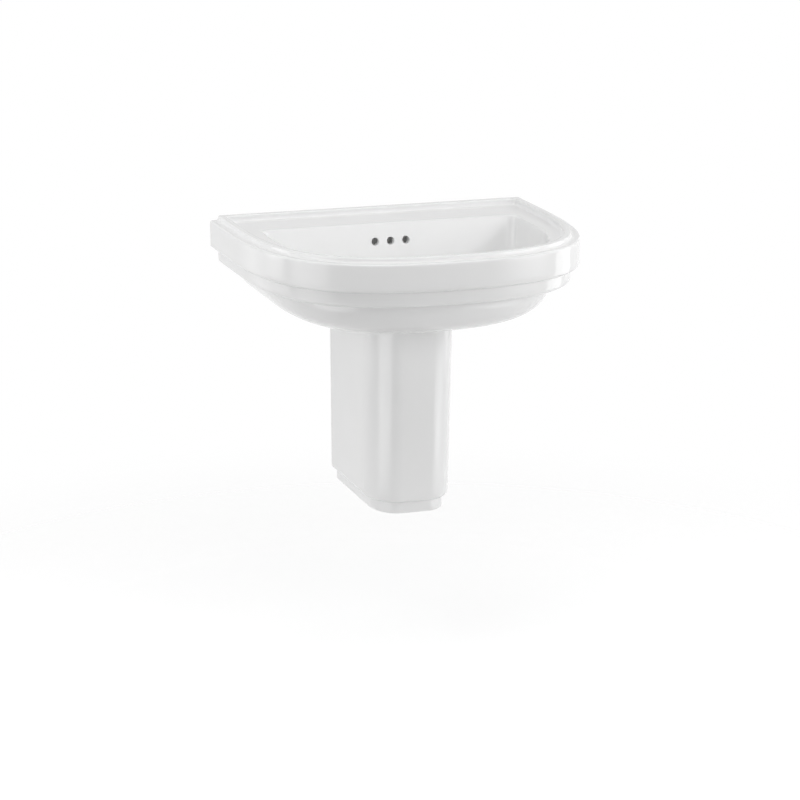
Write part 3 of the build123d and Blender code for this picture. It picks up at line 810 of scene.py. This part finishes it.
def smooth(piece: bpy.types.Object, degrees: float) -> None:
    """Shades a piece smooth, with true edges left sharp.

    Args:
        piece: The piece.
        degrees: Angle past which an edge is sharp.
    """
    select_only(piece)
    bpy.ops.object.shade_smooth_by_angle(angle=math.radians(degrees))


def install(piece: bpy.types.Object, body: str, slot: str, *nodes: str) -> None:
    """Puts a finished piece in the part.

    Args:
        piece: The piece.
        body: Body that it moves with.
        slot: Material slot of the record. Not used.
        nodes: Nodes that it stands for.
    """
    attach(piece, body)
    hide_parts(*nodes)
    log.info("%s: %d faces, stands for %s", piece.name, len(piece.data.polygons), ", ".join(nodes))


@dataclass
class Basin:
    """The glazed basin: stepped bands, raised rim, bowl, hollow back and overflow passage. Sizes in mm."""

    half_w: float = 325.0
    front: float = 520.0
    side: float = 140.0
    full: float = 0.736
    rim_top: float = 120.0
    rim_inset: float = 15.8
    rim_rise: float = 8.6
    rim_width: float = 13.2
    rim_back: float = 12.0
    band_h: float = 53.5
    step_inset: float = 15.5
    step_h: float = 29.6
    top_round: float = 4.0
    low_round: float = 6.5
    rim_round: float = 3.0
    cove: float = 6.0
    belly_inset: float = 55.0
    belly_front: float = 468.0
    belly_h: float = 79.0
    belly_low_half: float = 135.0
    belly_low_front: float = 330.0
    belly_side: float = 179.0
    belly_full: float = 0.698
    belly_power: float = 2.33
    ledge_drop: float = 12.0
    bowl_half: float = 256.0
    bowl_back: float = 114.0
    bowl_front: float = 460.0
    bowl_deep: float = 142.0
    bowl_low_half: float = 105.0
    bowl_low_front: float = 335.0
    side_lean: float = 0.10
    back_lean: float = 0.25
    front_lean: float = 0.25
    back_curl: float = 15.0
    bowl_power: float = 3.2
    bowl_corner: float = 16.0
    least_corner: float = 0.8
    bowl_edge: float = 3.5
    bowl_full: float = 0.76
    floor_fall: float = 3.0
    floor_fall_r: float = 56.0
    fall_steps: int = 8
    recess_lip: float = 0.8
    china: float = 14.0
    back_plate: float = 16.0
    cheek: float = 16.0
    ledge_thick: float = 18.0
    boss_r: float = 44.0
    boss_drop: float = 25.0
    hole_r: float = 7.2
    hole_pitch: float = 31.0
    hole_drop: float = 46.0
    hole_flare: float = 1.6
    hole_bend: tuple[float, ...] = (50.0, 35.0, 20.0, 0.0)  # degrees of the flare's rings
    hole_clear: float = 3.0
    lean_step: float = 2.0
    duct_gap: float = 10.0
    duct_wall: float = 9.0
    duct_half: float = 40.0
    foot_half: float = 18.0
    duct_cover: float = 4.0
    bite: float = 4.0
    waste_y: float = 225.0
    recess_r: float = 34.0
    recess: float = 3.0
    waste_r: float = 23.0
    stud_half: float = 140.0
    stud_hole_r: float = 8.2
    bowl_steps: int = 40
    belly_steps: int = 32
    back_steps: int = 24
    hollow_steps: int = 20

    def __post_init__(self) -> None:
        """Works out the levels."""
        self.band_top = self.rim_top - self.rim_rise
        self.band_low = self.band_top - self.band_h
        self.step_low = self.band_low - self.step_h
        self.belly_low = self.step_low - self.belly_h
        self.ledge = self.rim_top - self.ledge_drop
        self.floor = self.ledge - self.bowl_deep
        self.seat = self.floor - self.floor_fall - self.recess
        self.boss_low = self.belly_low - self.boss_drop

    def band(self, inset: float, z: float) -> Points:
        """Ring of the outer bands, moved in by an inset."""
        return d_ring(self.half_w - inset, self.front - inset, self.side, self.full, z)

    def tray(self, out: float, z: float) -> Points:
        """Ring of the ledge's edge, moved out by a distance."""
        inset = self.rim_inset + self.rim_width - out
        return d_ring(self.half_w - inset, self.front - inset, self.side - self.rim_back + out, self.full, z,
                      max(self.cove + out, self.least_corner), Corner.ROUND, self.rim_back - out)

    def bowl_section(self, angle: float) -> tuple[float, float]:
        """Share kept of the width, and depth below the ledge, at one angle of the section."""
        keep = max(math.cos(angle), 0.0) ** (2 / self.bowl_power)
        return keep, self.bowl_deep * math.sin(angle) ** (2 / self.bowl_power)

    def bowl(self, angle: float, out: float = 0.0) -> Points:
        """Ring of the bowl.

        Args:
            angle: Angle of the section.
            out: Distance that the ring is moved out.

        Returns:
            The ring's points.
        """
        keep, down = self.bowl_section(angle)
        low_side = self.bowl_half - self.side_lean * self.bowl_deep
        low_front = self.bowl_front - self.front_lean * self.bowl_deep
        half = self.bowl_half - self.side_lean * down - (low_side - self.bowl_low_half) * (1 - keep) + out
        front = self.bowl_front - self.front_lean * down - (low_front - self.bowl_low_front) * (1 - keep) + out
        side = (self.side - self.bowl_corner) * half / self.half_w + out
        return d_ring(half, front, side, self.bowl_full, self.ledge - down, self.bowl_corner + out,
                      Corner.ROUND, self.back_wall(angle) - out)

    def back_wall(self, angle: float) -> float:
        """Back of the bowl, from the wall, at one angle of its section."""
        keep, down = self.bowl_section(angle)
        return self.bowl_back + self.back_lean * down + self.back_curl * (1 - keep)

    def belly_section(self, angle: float) -> tuple[float, float]:
        """Section of the underside.

        Args:
            angle: Angle of the section.

        Returns:
            Half width and height.
        """
        keep = max(math.cos(angle), 0.0) ** (2 / self.belly_power)
        fall = math.sin(angle) ** (2 / self.belly_power)
        top = self.half_w - self.belly_inset
        return self.belly_low_half + (top - self.belly_low_half) * keep, self.step_low - self.belly_h * fall

    def belly(self, angle: float) -> Points:
        """Ring of the underside.

        Args:
            angle: Angle of the section.

        Returns:
            The ring's points.
        """
        half, z = self.belly_section(angle)
        keep = max(math.cos(angle), 0.0) ** (2 / self.belly_power)
        front = self.belly_low_front + (self.belly_front - self.belly_low_front) * keep
        return d_ring(half, front, self.belly_side, self.belly_full, z)

    def round_ring(self, like: Points, radius: float, z: float) -> Points:
        """Circle about the waste, with its points in the directions of another ring's.

        Args:
            like: The other ring.
            radius: Radius.
            z: Height.

        Returns:
            The circle's points.
        """
        centre = Vector((0, -self.waste_y * MM, 0))
        made = []
        for point in like:
            way = Vector((point.x, point.y - centre.y, 0)).normalized()
            made.append(centre + way * radius * MM + Vector((0, 0, z * MM)))
        return made

    def inside_rings(self) -> list[Points]:
        """Rings from the raised rim, over the ledge and down the bowl to the waste.

        Returns:
            The rings, in order.
        """
        rise, edge = self.rim_round, self.bowl_edge
        rings = between(self.band(self.rim_inset + rise, self.rim_top), self.tray(rise, self.rim_top), 2)
        rings += [self.tray(left, self.rim_top - gone) for left, gone in bend(rise, 5)]
        rings.append(self.tray(0, self.ledge + self.cove))
        rings += [self.tray(-gone, self.ledge + left) for left, gone in bend(self.cove, 6)]
        rings += between(rings[-1], self.bowl(0.0, edge), 6)
        rings += [self.bowl(self.angle_at(gone), left) for left, gone in bend(edge, 7)]
        spread = self.bowl_half - self.bowl_low_half
        angles = even_angles(lambda a: (spread * self.bowl_section(a)[0], self.bowl_section(a)[1]),
                             self.angle_at(edge), self.bowl_steps)
        rings += [self.bowl(a) for a in angles]
        rings += between(rings[-1], self.round_ring(rings[-1], self.floor_fall_r, self.floor), 4)
        for k in range(1, self.fall_steps + 1):
            share = k / self.fall_steps
            radius = self.floor_fall_r + (self.recess_r + self.recess_lip - self.floor_fall_r) * share
            fall = self.floor_fall * share * share * (3 - 2 * share)
            rings.append(self.round_ring(rings[-1], radius, self.floor - fall))
        rings.append(self.round_ring(rings[-1], self.recess_r, self.floor - self.floor_fall - self.recess_lip))
        rings.append(self.round_ring(rings[-1], self.recess_r, self.seat))
        return rings

    def angle_at(self, down: float) -> float:
        """Angle of the bowl's section at one depth below the ledge."""
        return math.asin((down / self.bowl_deep) ** (self.bowl_power / 2))

    def outside_rings(self) -> list[Points]:
        """Rings from the raised rim, down over the two bands and the underside.

        Returns:
            The rings, in order.
        """
        inset, step, high, low = self.rim_inset, self.step_inset, self.top_round, self.low_round
        rings = [self.band(inset + left, self.rim_top - gone) for left, gone in bend(self.rim_round, 6)]
        rings += [self.band(inset - gone, self.band_top + left)
                  for left, gone in bend(self.rim_rise - self.rim_round, 7)]
        rings += between(rings[-1], self.band(high, self.band_top), 2)
        rings += [self.band(left, self.band_top - gone) for left, gone in bend(high, 7)]
        rings += between(rings[-1], self.band(0, self.band_low + low), 6)
        rings += [self.band(gone, self.band_low + left) for left, gone in bend(low, 5)]
        rings += between(rings[-1], self.band(step, self.band_low), 2)
        rings += between(rings[-1], self.band(step, self.step_low + low), 4)
        rings += [self.band(step + gone, self.step_low + left) for left, gone in bend(low, 5)]
        rings += between(rings[-1], self.belly(0.0), 3)
        rings += [self.belly(a) for a in even_angles(self.belly_section, 0.0, self.belly_steps)]
        return rings

    def back_line(self, offset: float, low: float, high: float) -> list[tuple[float, float]]:
        """Points down the back wall of the bowl.

        Args:
            offset: Distance towards the wall.
            low: Lowest height.
            high: Highest height.

        Returns:
            Y and Z of the points, from the top.
        """
        angles = even_angles(lambda a: (self.back_wall(a), self.bowl_section(a)[1]), 0.0, self.back_steps)
        shape = [(offset - self.back_wall(a), self.ledge - self.bowl_section(a)[1]) for a in [0.0] + angles]
        top = shape[0][0] + self.back_lean * (shape[0][1] - high)
        points = [(top, high)] + [(y, z) for y, z in shape if low + OVERCUT < z < high - OVERCUT]
        return points + [(points[-1][0], low)]

    def sheet(self, outline: list[tuple[float, float]], half: float) -> bpy.types.Object:
        """Block from an outline of Y and Z pairs, level across the basin."""
        points = [Vector((-half, y, z)) * MM for y, z in outline]
        return Joinery.block(points, Vector((2 * half * MM, 0, 0)))

    def hollow(self) -> bpy.types.Object:
        """Room behind the bowl, open below.

        Returns:
            The block that is cut away.
        """
        roof, low = self.ledge - self.ledge_thick, self.boss_low - OVERCUT
        angles = [0.0] + even_angles(self.belly_section, 0.0, self.hollow_steps)
        shape = [(h - self.cheek, z) for h, z in (self.belly_section(a) for a in angles)]
        right = [(shape[0][0], roof)] + shape + [(shape[-1][0], low)]
        outline = right + [(-x, z) for x, z in reversed(right)]
        across = Joinery.block([Vector((x, 0, z)) * MM for x, z in outline],
                               Vector((0, -(self.bowl_back + self.bowl_deep) * MM, 0)))
        side = [(-self.back_plate, roof)] + self.back_line(self.china, low, roof) + [(-self.back_plate, low)]
        Joinery.work(across, self.sheet(side, self.half_w), Work.COMMON, HOLLOW)
        return across

    def passage(self, piece: bpy.types.Object) -> None:
        """Adds the walls of the overflow passage and the boss, and cuts the passage and its holes.

        Args:
            piece: The casting.
        """
        roof = self.ledge - self.ledge_thick + OVERCUT
        far = self.china + self.duct_gap + self.duct_wall
        foot_low = self.belly_low - self.duct_cover - self.duct_gap - self.duct_wall
        outer = self.back_line(far, foot_low, roof)
        walls = outer + list(reversed(self.back_line(self.china - self.bite, foot_low, roof)))
        Joinery.work(piece, self.sheet(walls, self.duct_half + self.duct_wall), Work.JOIN, HOLLOW)
        let_in = self.belly_low + self.bite
        boss = Joinery.rod((0, -self.waste_y, self.boss_low), self.boss_r, (0, 0, let_in - self.boss_low),
                           ROUND_SIDES)
        Joinery.work(piece, boss, Work.JOIN, HOLLOW)
        foot = self.foot_half + self.duct_wall
        block = Joinery.box((-foot, -self.waste_y, foot_low), (foot, outer[-1][0], let_in))
        Joinery.work(piece, block, Work.JOIN, HOLLOW)
        top = self.rim_top - self.hole_drop + self.hole_r + 2 * OVERCUT
        low = foot_low + self.duct_wall
        inner = self.back_line(self.china + self.duct_gap, low, top)
        room = inner + list(reversed(self.back_line(self.china, low, top)))
        Joinery.work(piece, self.sheet(room, self.duct_half), Work.CUT, CHANNEL)
        run = Joinery.box((-self.foot_half, -self.waste_y, low),
                          (self.foot_half, inner[-1][0], low + self.duct_gap))
        Joinery.work(piece, run, Work.CUT, CHANNEL)
        for k in (-1, 0, 1):
            Joinery.work(piece, self.hole_cutter(k * self.hole_pitch), Work.CUT, CHINA)

    def hole_cutter(self, x: float) -> bpy.types.Object:
        """Cutter of one overflow hole, with a flared mouth that lies along the back wall.

        Args:
            x: Place of the hole across the basin.

        Returns:
            The cutter.
        """
        z = self.rim_top - self.hole_drop
        down, step = self.ledge - z, self.lean_step
        wall, above, below = (self.back_wall(self.angle_at(down + d)) for d in (0.0, -step, step))
        lean = (below - above) / (2 * step)

        def ring(depth: float, radius: float) -> Points:
            """Ring at one depth behind the face of the wall."""
            turns = [2 * math.pi * k / BORE_SIDES for k in range(BORE_SIDES)]
            return [Vector((x + radius * math.cos(a), depth - wall + lean * radius * math.sin(a),
                            z + radius * math.sin(a))) * MM for a in turns]

        flare, clear = self.hole_flare, self.hole_clear
        turns = [math.radians(d) for d in self.hole_bend]
        rings = [ring(flare * (1 - math.sin(a)), self.hole_r + flare * (1 - math.cos(a))) for a in turns]
        first = turns[0]
        mouth = flare * (1 - math.cos(first)) + (flare * (1 - math.sin(first)) + clear) * math.tan(first)
        skin = RingSkin("hole_cutter", ring(-clear, self.hole_r + mouth))
        skin.grow(rings + [ring(self.china + self.duct_gap / 2, self.hole_r)])
        skin.cap()
        return skin.close()

    def build(self) -> bpy.types.Object:
        """Makes the casting.

        Returns:
            The casting, with its finishes.
        """
        skin = RingSkin("basin_casting", self.band(self.rim_inset + self.rim_round, self.rim_top))
        skin.grow(self.inside_rings())
        skin.cap()
        skin.pick_open_part()
        skin.grow(self.outside_rings())
        skin.cap()
        piece = skin.close()
        piece.data.materials.append(CHINA.material())
        Joinery.work(piece, self.hollow(), Work.CUT, HOLLOW)
        self.passage(piece)
        hole = Joinery.rod((0, -self.waste_y, self.boss_low - OVERCUT), self.waste_r,
                           (0, 0, self.seat + 2 * OVERCUT - self.boss_low), ROUND_SIDES)
        Joinery.work(piece, hole, Work.CUT, CHINA)
        for sign in (-1, 1):
            hole = Joinery.rod((sign * self.stud_half, OVERCUT, 0), self.stud_hole_r,
                               (0, -self.back_plate - 2 * OVERCUT, 0), BORE_SIDES)
            Joinery.work(piece, hole, Work.CUT, HOLLOW)
        smooth(piece, CASTING_EDGE)
        return piece


@dataclass
class HalfPedestal:
    """The hollow half pedestal, open at the top and towards the wall. Sizes in mm."""

    top: float = -52.7
    foot: float = -427.7
    top_half: float = 85.5
    low_half: float = 83.5
    top_front: float = 299.0
    low_front: float = 281.0
    run_x: float = 56.0
    run_y: float = 80.0
    top_edge: float = 0.6
    low_round: float = 8.0
    foot_round: float = 1.5
    wall: float = 12.0
    plinth_inset: float = 11.0
    plinth_h: float = 23.0
    floor: float = 14.0
    stud_half: float = 56.0
    stud_up: float = 110.0
    stud_hole_r: float = 7.2
    lug_t: float = 16.0
    lug_half_h: float = 30.0
    lug_half_w: float = 17.0

    def body(self, z: float, inset: float, back: float = 0.0) -> Points:
        """Ring of the body.

        Args:
            z: Height.
            inset: Distance that the ring is moved in.
            back: Back line, from the wall.

        Returns:
            The ring's points.
        """
        share = (self.top - z) / (self.top - self.foot - self.plinth_h)
        half = self.top_half + (self.low_half - self.top_half) * share - inset
        front = self.top_front + (self.low_front - self.top_front) * share - inset
        return u_ring(half, front, self.run_x - inset, self.run_y - inset, z, back)

    def plinth(self, z: float, inset: float, back: float = 0.0) -> Points:
        """Ring of the plinth, moved in by an inset."""
        inset += self.plinth_inset
        return u_ring(self.low_half - inset, self.low_front - inset, self.run_x - inset, self.run_y - inset,
                      z, back)

    def shell(self) -> bpy.types.Object:
        """Outside of the pedestal as a closed form.

        Returns:
            The form.
        """
        low = self.foot + self.plinth_h
        skin = RingSkin("half_pedestal_casting", self.body(self.top, self.top_edge))
        skin.cap()
        skin.pick_open_part()
        rings = [self.body(self.top - self.top_edge, 0.0)]
        rings += between(rings[-1], self.body(low + self.low_round, 0.0), 24)
        rings += [self.body(low + left, gone) for left, gone in bend(self.low_round, 7)]
        rings += between(rings[-1], self.plinth(low, 0.0), 1)
        rings += between(rings[-1], self.plinth(self.foot + self.foot_round, 0.0), 3)
        rings += [self.plinth(self.foot + left, gone) for left, gone in bend(self.foot_round, 4)]
        skin.grow(rings)
        skin.cap()
        return skin.close()

    def room(self, rings: list[Points]) -> bpy.types.Object:
        """Closed form of a room inside.

        Args:
            rings: Its highest and lowest ring.

        Returns:
            The form.
        """
        skin = RingSkin("room", rings[0])
        skin.cap()
        skin.pick_open_part()
        skin.grow(between(rings[0], rings[1], 4))
        skin.cap()
        return skin.close()

    def build(self) -> bpy.types.Object:
        """Makes the casting.

        Returns:
            The casting, with its finishes.
        """
        piece = self.shell()
        piece.data.materials.append(CHINA.material())
        shelf = self.foot + self.plinth_h + self.wall
        inside = [self.body(z, self.wall, -OVERCUT) for z in (self.top + OVERCUT, shelf)]
        below = [self.plinth(z, self.wall, -OVERCUT) for z in (shelf + OVERCUT, self.foot + self.floor)]
        for rings in (inside, below):
            Joinery.work(piece, self.room(rings), Work.CUT, HOLLOW)
        z = self.foot + self.stud_up
        for sign in (-1, 1):
            near = sign * (self.stud_half - self.lug_half_w)
            far = sign * (self.low_half - self.wall / 2)
            lug = Joinery.box((min(near, far), -self.lug_t, z - self.lug_half_h),
                              (max(near, far), 0, z + self.lug_half_h))
            Joinery.work(piece, lug, Work.JOIN, HOLLOW)
            hole = Joinery.rod((sign * self.stud_half, OVERCUT, z), self.stud_hole_r,
                               (0, -self.lug_t - 2 * OVERCUT, 0), BORE_SIDES)
            Joinery.work(piece, hole, Work.CUT, HOLLOW)
        smooth(piece, CASTING_EDGE)
        return piece


@dataclass
class StudPair:
    """Two studs with a coarse screw in the wall and a machine thread for the nut. Sizes in mm."""

    name: str
    node: str
    half_pitch: float
    z: float
    end: float
    in_wall: float
    crest: float
    root: float
    lead: float
    screw_crest: float
    screw_root: float
    screw_lead: float
    tip: float = 8.0
    tip_share: float = 0.03
    chamfer: float = 1.0
    sides: int = 28
    rise: float = 1.15         # steepness of the ridges
    screw_rise: float = 2.6
    valley: float = 0.05
    lead_steps: int = 6
    screw_steps: int = 10

    def ring(self, y: float, shrink: float = 1.0) -> Points:
        """Ring of the thread.

        Args:
            y: Place along the stud.
            shrink: Share of the radius that is kept.

        Returns:
            The ring's points.
        """
        in_wall = y > 0
        machine = (self.lead, self.root, self.crest, self.rise)
        screw = (self.screw_lead, self.screw_root, self.screw_crest, self.screw_rise)
        lead, root, crest, rise = screw if in_wall else machine
        points = []
        for k in range(self.sides):
            turn = 2 * math.pi * k / self.sides
            phase = (y / lead - k / self.sides) % 1.0
            ridge = min(1.0, max(0.0, (1.0 - abs(2.0 * phase - 1.0)) * rise - self.valley))
            if in_wall:
                ridge = max(0.0, 2.0 * ridge - 1.0)
            radius = shrink * (root + (crest - root) * ridge)
            across, up = self.half_pitch + radius * math.sin(turn), self.z + radius * math.cos(turn)
            points.append(Vector((across, y, up)) * MM)
        return points

    def rings(self) -> list[Points]:
        """Rings from the machine end to the point of the screw.

        Returns:
            The rings, in order.
        """
        made = []
        step = self.lead / self.lead_steps
        count = int(-self.end / step)
        for k in range(1, count + 1):
            y = self.end - self.end * k / count - 1e-6
            keep = min(1.0, (self.crest - self.chamfer + (y - self.end)) / self.crest)
            made.append(self.ring(y, keep))
        step = self.screw_lead / self.screw_steps
        count = int(self.in_wall / step)
        for k in range(1, count + 1):
            y = self.in_wall * k / count
            made.append(self.ring(y, max(self.tip_share, min(1.0, (self.in_wall - y) / self.tip))))
        return made

    def build(self) -> list[bpy.types.Object]:
        """Makes the right stud and copies it to the left.

        Returns:
            The two studs.
        """
        skin = RingSkin(self.name + "_right", self.ring(self.end, 1.0 - self.chamfer / self.crest))
        skin.grow(self.rings())
        skin.cap()
        right = skin.close()
        right.data.materials.append(ZINC.material())
        smooth(right, THREAD_EDGE)
        select_only(right)
        bpy.ops.object.duplicate()
        left = bpy.context.object
        left.name = self.name + "_left"
        bpy.ops.transform.translate(value=(-2 * self.half_pitch * MM, 0.0, 0.0))
        bpy.ops.object.transform_apply(location=True, rotation=True, scale=True)
        return [right, left]


STUD_PAIRS = (
    StudPair("wall_stud", "wall_studs", 140.0, 0.0, -41.5, 60.0, 4.8, 4.1, 1.5, 5.0, 3.7, 4.0),
    StudPair("pedestal_stud", "pedestal_studs", 56.0, -317.7, -39.5, 50.0, 3.8, 3.2, 1.25, 4.0, 2.9, 3.4),
)


@dataclass(frozen=True)
class SoftBox:
    """A panel of the studio, unseen by the camera, that glows or dims what is mirrored. Lengths in metres."""

    name: str
    spot: tuple[float, float, float]
    aim: tuple[float, float, float]
    size: tuple[float, float]
    glow: float
    fade: float = 0.6
    mirrored_only: bool = False
    veil: float = 0.0

    def build(self) -> None:
        """Adds the panel, which works to the front and fades out to its edges."""
        way = Vector(self.aim) - Vector(self.spot)
        turn = way.to_track_quat("-Z", "Y").to_euler()
        bpy.ops.mesh.primitive_plane_add(size=1.0, location=self.spot, rotation=turn)
        made = bpy.context.object
        made.name = self.name
        made.scale = (*self.size, 1.0)
        made.visible_camera = False
        made.visible_shadow = False
        made.visible_diffuse = not self.mirrored_only
        made.data.materials.append(self.material())

    def material(self) -> bpy.types.Material:
        """Clear film that glows or dims.

        Returns:
            The material.
        """
        made = bpy.data.materials.new(self.name)
        made.use_nodes = True
        board = Board(made.node_tree)
        where = board.node("ShaderNodeTexCoord").outputs["Object"]
        axes = board.node("ShaderNodeSeparateXYZ", {}, {"Vector": where})
        share = board.field(board.node("ShaderNodeNewGeometry"), "Backfacing")
        for axis in ("X", "Y"):
            size = board.node("ShaderNodeMath", {"operation": "ABSOLUTE"}, {0: axes.outputs[axis]})
            share = share * (1.0 - board.field(size).step(0.5 * (1.0 - self.fade), 0.5))
        light = board.node("ShaderNodeEmission", {}, {"Color": WHITE, "Strength": share * self.glow})
        clear = board.node("ShaderNodeBsdfTransparent", {}, {"Color": 1.0 - share * self.veil})
        both = board.node("ShaderNodeAddShader", {}, {0: clear.outputs[0], 1: light.outputs[0]})
        board.node("ShaderNodeOutputMaterial", {}, {"Surface": both.outputs[0]})
        return made


SOFT_BOXES = (
    SoftBox("box_top", (0.1, -0.3, 2.3), (0.0, -0.3, 0.0), (2.4, 2.2), 1.0),
    SoftBox("box_top_front", (-0.3, -1.6, 2.4), (0.0, -0.3, 0.0), (2.4, 1.6), 1.0),
    SoftBox("box_top_back", (0.0, 1.2, 2.2), (0.0, -0.3, 0.0), (2.4, 1.4), 0.3),
    SoftBox("box_top_left", (-1.7, -0.5, 1.8), (0.0, -0.3, 0.0), (1.6, 1.6), 1.8),
    SoftBox("box_top_right", (1.7, -0.5, 1.8), (0.0, -0.3, 0.0), (1.6, 1.6), 0.3),
    SoftBox("box_front", (1.0, -2.9, 1.0), (0.0, -0.1, 0.09), (3.0, 1.5), 1.05, 0.4),
    SoftBox("box_front_low", (-0.9, -3.2, 0.2), (0.0, -0.3, 0.0), (2.6, 1.2), 0.2),
    SoftBox("box_left", (-1.99, -0.6, 0.25), (-0.25, -0.4, 0.1), (1.9, 2.0), 1.13, 0.5),
    SoftBox("box_left_back", (-1.86, 0.74, 0.35), (-0.3, -0.35, 0.1), (0.9, 2.0), 1.7),
    SoftBox("card_back", (0.6, 1.5, 0.55), (0.0, -0.3, 0.11), (2.4, 1.3), 0.0, 0.5,
            mirrored_only=True, veil=0.17),
    SoftBox("box_left_far", (-1.39, 1.21, -0.25), (-0.3, -0.35, -0.25), (1.1, 1.1), 0.5, 0.8,
            mirrored_only=True),
    SoftBox("box_left_low", (-1.2, -0.6, -0.6), (-0.06, -0.27, -0.6), (1.7, 0.8), 1.7, 0.7,
            mirrored_only=True),
    SoftBox("box_right", (1.99, -0.28, 0.25), (0.25, -0.42, 0.1), (1.0, 2.0), 1.3, 0.12),
    SoftBox("box_right_low", (0.95, -1.05, -0.72), (0.05, -0.25, -0.72), (1.6, 0.62), 1.9, 0.9,
            mirrored_only=True),
    SoftBox("box_right_front", (1.53, -1.55, 0.4), (0.0, -0.3, 0.3), (1.6, 2.0), 2.5, 0.7),
)


@dataclass
class Studio:
    """Camera, floor and soft light. Lengths in metres."""

    eye: tuple[float, float, float] = (-1.70324, -5.26373, 1.16412)
    tilt: float = 1.31680
    pan: float = -0.3232
    lens: float = 129.26
    sensor: float = 36.0
    far_clip: float = 100.0
    floor_spot: tuple[float, float, float] = (0.0, -0.2, -0.73)
    floor_r: float = 3.2
    floor_tone: float = 0.86
    floor_glow: float = 0.365
    fade_from: float = 0.12
    fade_to: float = 0.5
    ambient: float = 0.36

    def camera(self) -> None:
        """Adds the camera at the photograph's viewing angle."""
        bpy.ops.object.camera_add(location=self.eye, rotation=(self.tilt, 0.0, self.pan))
        made = bpy.context.object
        made.data.lens = self.lens
        made.data.sensor_width = self.sensor
        made.data.clip_end = self.far_clip
        bpy.context.scene.camera = made

    def world(self) -> None:
        """Even light all round, which the camera and mirrors see as white."""
        scene = bpy.context.scene
        scene.world = scene.world or bpy.data.worlds.new("studio")
        scene.world.use_nodes = True
        board = Board(scene.world.node_tree)
        strength = self.ambient + (1.0 - self.ambient) * self.seen(board)
        light = board.node("ShaderNodeBackground", {}, {"Color": WHITE, "Strength": strength})
        board.node("ShaderNodeOutputWorld", {}, {"Surface": light.outputs[0]})

    @staticmethod
    def seen(board: Board) -> Field:
        """What the camera sees, straight, mirrored or through glass.

        Args:
            board: Board that the nodes go on.

        Returns:
            1 for what is seen, and 0 for light on a surface.
        """
        path = board.node("ShaderNodeLightPath")
        mirrored_or_through = board.field(path, "Is Glossy Ray").most(board.field(path, "Is Transmission Ray"))
        return board.field(path, "Is Camera Ray").most(mirrored_or_through)

    def floor(self) -> None:
        """Adds the pale floor, which fades into the white all round."""
        bpy.ops.mesh.primitive_circle_add(vertices=ROUND_SIDES, radius=self.floor_r, fill_type="NGON",
                                          location=self.floor_spot)
        made = bpy.context.object
        made.name = "floor"
        material = bpy.data.materials.new("pale_floor")
        material.use_nodes = True
        board = Board(material.node_tree)
        where = board.node("ShaderNodeTexCoord").outputs["Object"]
        away = board.field(board.node("ShaderNodeVectorMath", {"operation": "LENGTH"}, {0: where}), "Value")
        cloth = board.node("ShaderNodeBsdfDiffuse", {}, {"Color": (*(self.floor_tone,) * 3, 1.0)})
        glow = board.node("ShaderNodeEmission", {}, {"Strength": self.floor_glow * self.seen(board)})
        both = board.node("ShaderNodeAddShader", {}, {0: cloth.outputs[0], 1: glow.outputs[0]})
        clear = board.node("ShaderNodeBsdfTransparent")
        share = away.step(self.fade_from * self.floor_r, self.fade_to * self.floor_r)
        fade = board.node("ShaderNodeMixShader", {}, {0: share, 1: both.outputs[0], 2: clear.outputs[0]})
        board.node("ShaderNodeOutputMaterial", {}, {"Surface": fade.outputs[0]})
        made.data.materials.append(material)

    def build(self) -> None:
        """Sets up the whole studio."""
        self.camera()
        self.world()
        self.floor()
        for box in SOFT_BOXES:
            box.build()
        bpy.context.scene.view_settings.view_transform = "Standard"


class CarriedNodes:
    """Pieces that keep their shape and get a finish."""

    def __init__(self, packed: dict[str, Any]) -> None:
        """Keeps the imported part."""
        self.packed = packed

    def dress(self) -> None:
        """Gives every node the finish of its slot."""
        for entry in self.packed["record"]["subparts"]:
            node = self.packed["nodes"][entry["node"]]
            finish = BY_SLOT[entry["material_slot"]].material()
            if not node.material_slots:
                node.data.materials.append(finish)
            for slot in node.material_slots:
                slot.material = finish
            log.info("%s: %s", entry["node"], finish.name)


def main() -> None:
    """Builds the pieces in order and dresses them."""
    logging.basicConfig(level=logging.INFO, format="%(name)s %(message)s")
    CarriedNodes(frame).dress()
    install(Basin().build(), "basin_set", "white_china", "basin")
    install(HalfPedestal().build(), "basin_set", "white_china", "semi_pedestal")
    for pair in STUD_PAIRS:
        for stud in pair.build():
            install(stud, "basin_set", "zinc_steel", pair.node)
    Studio().build()


if __name__ == "__main__":
    main()
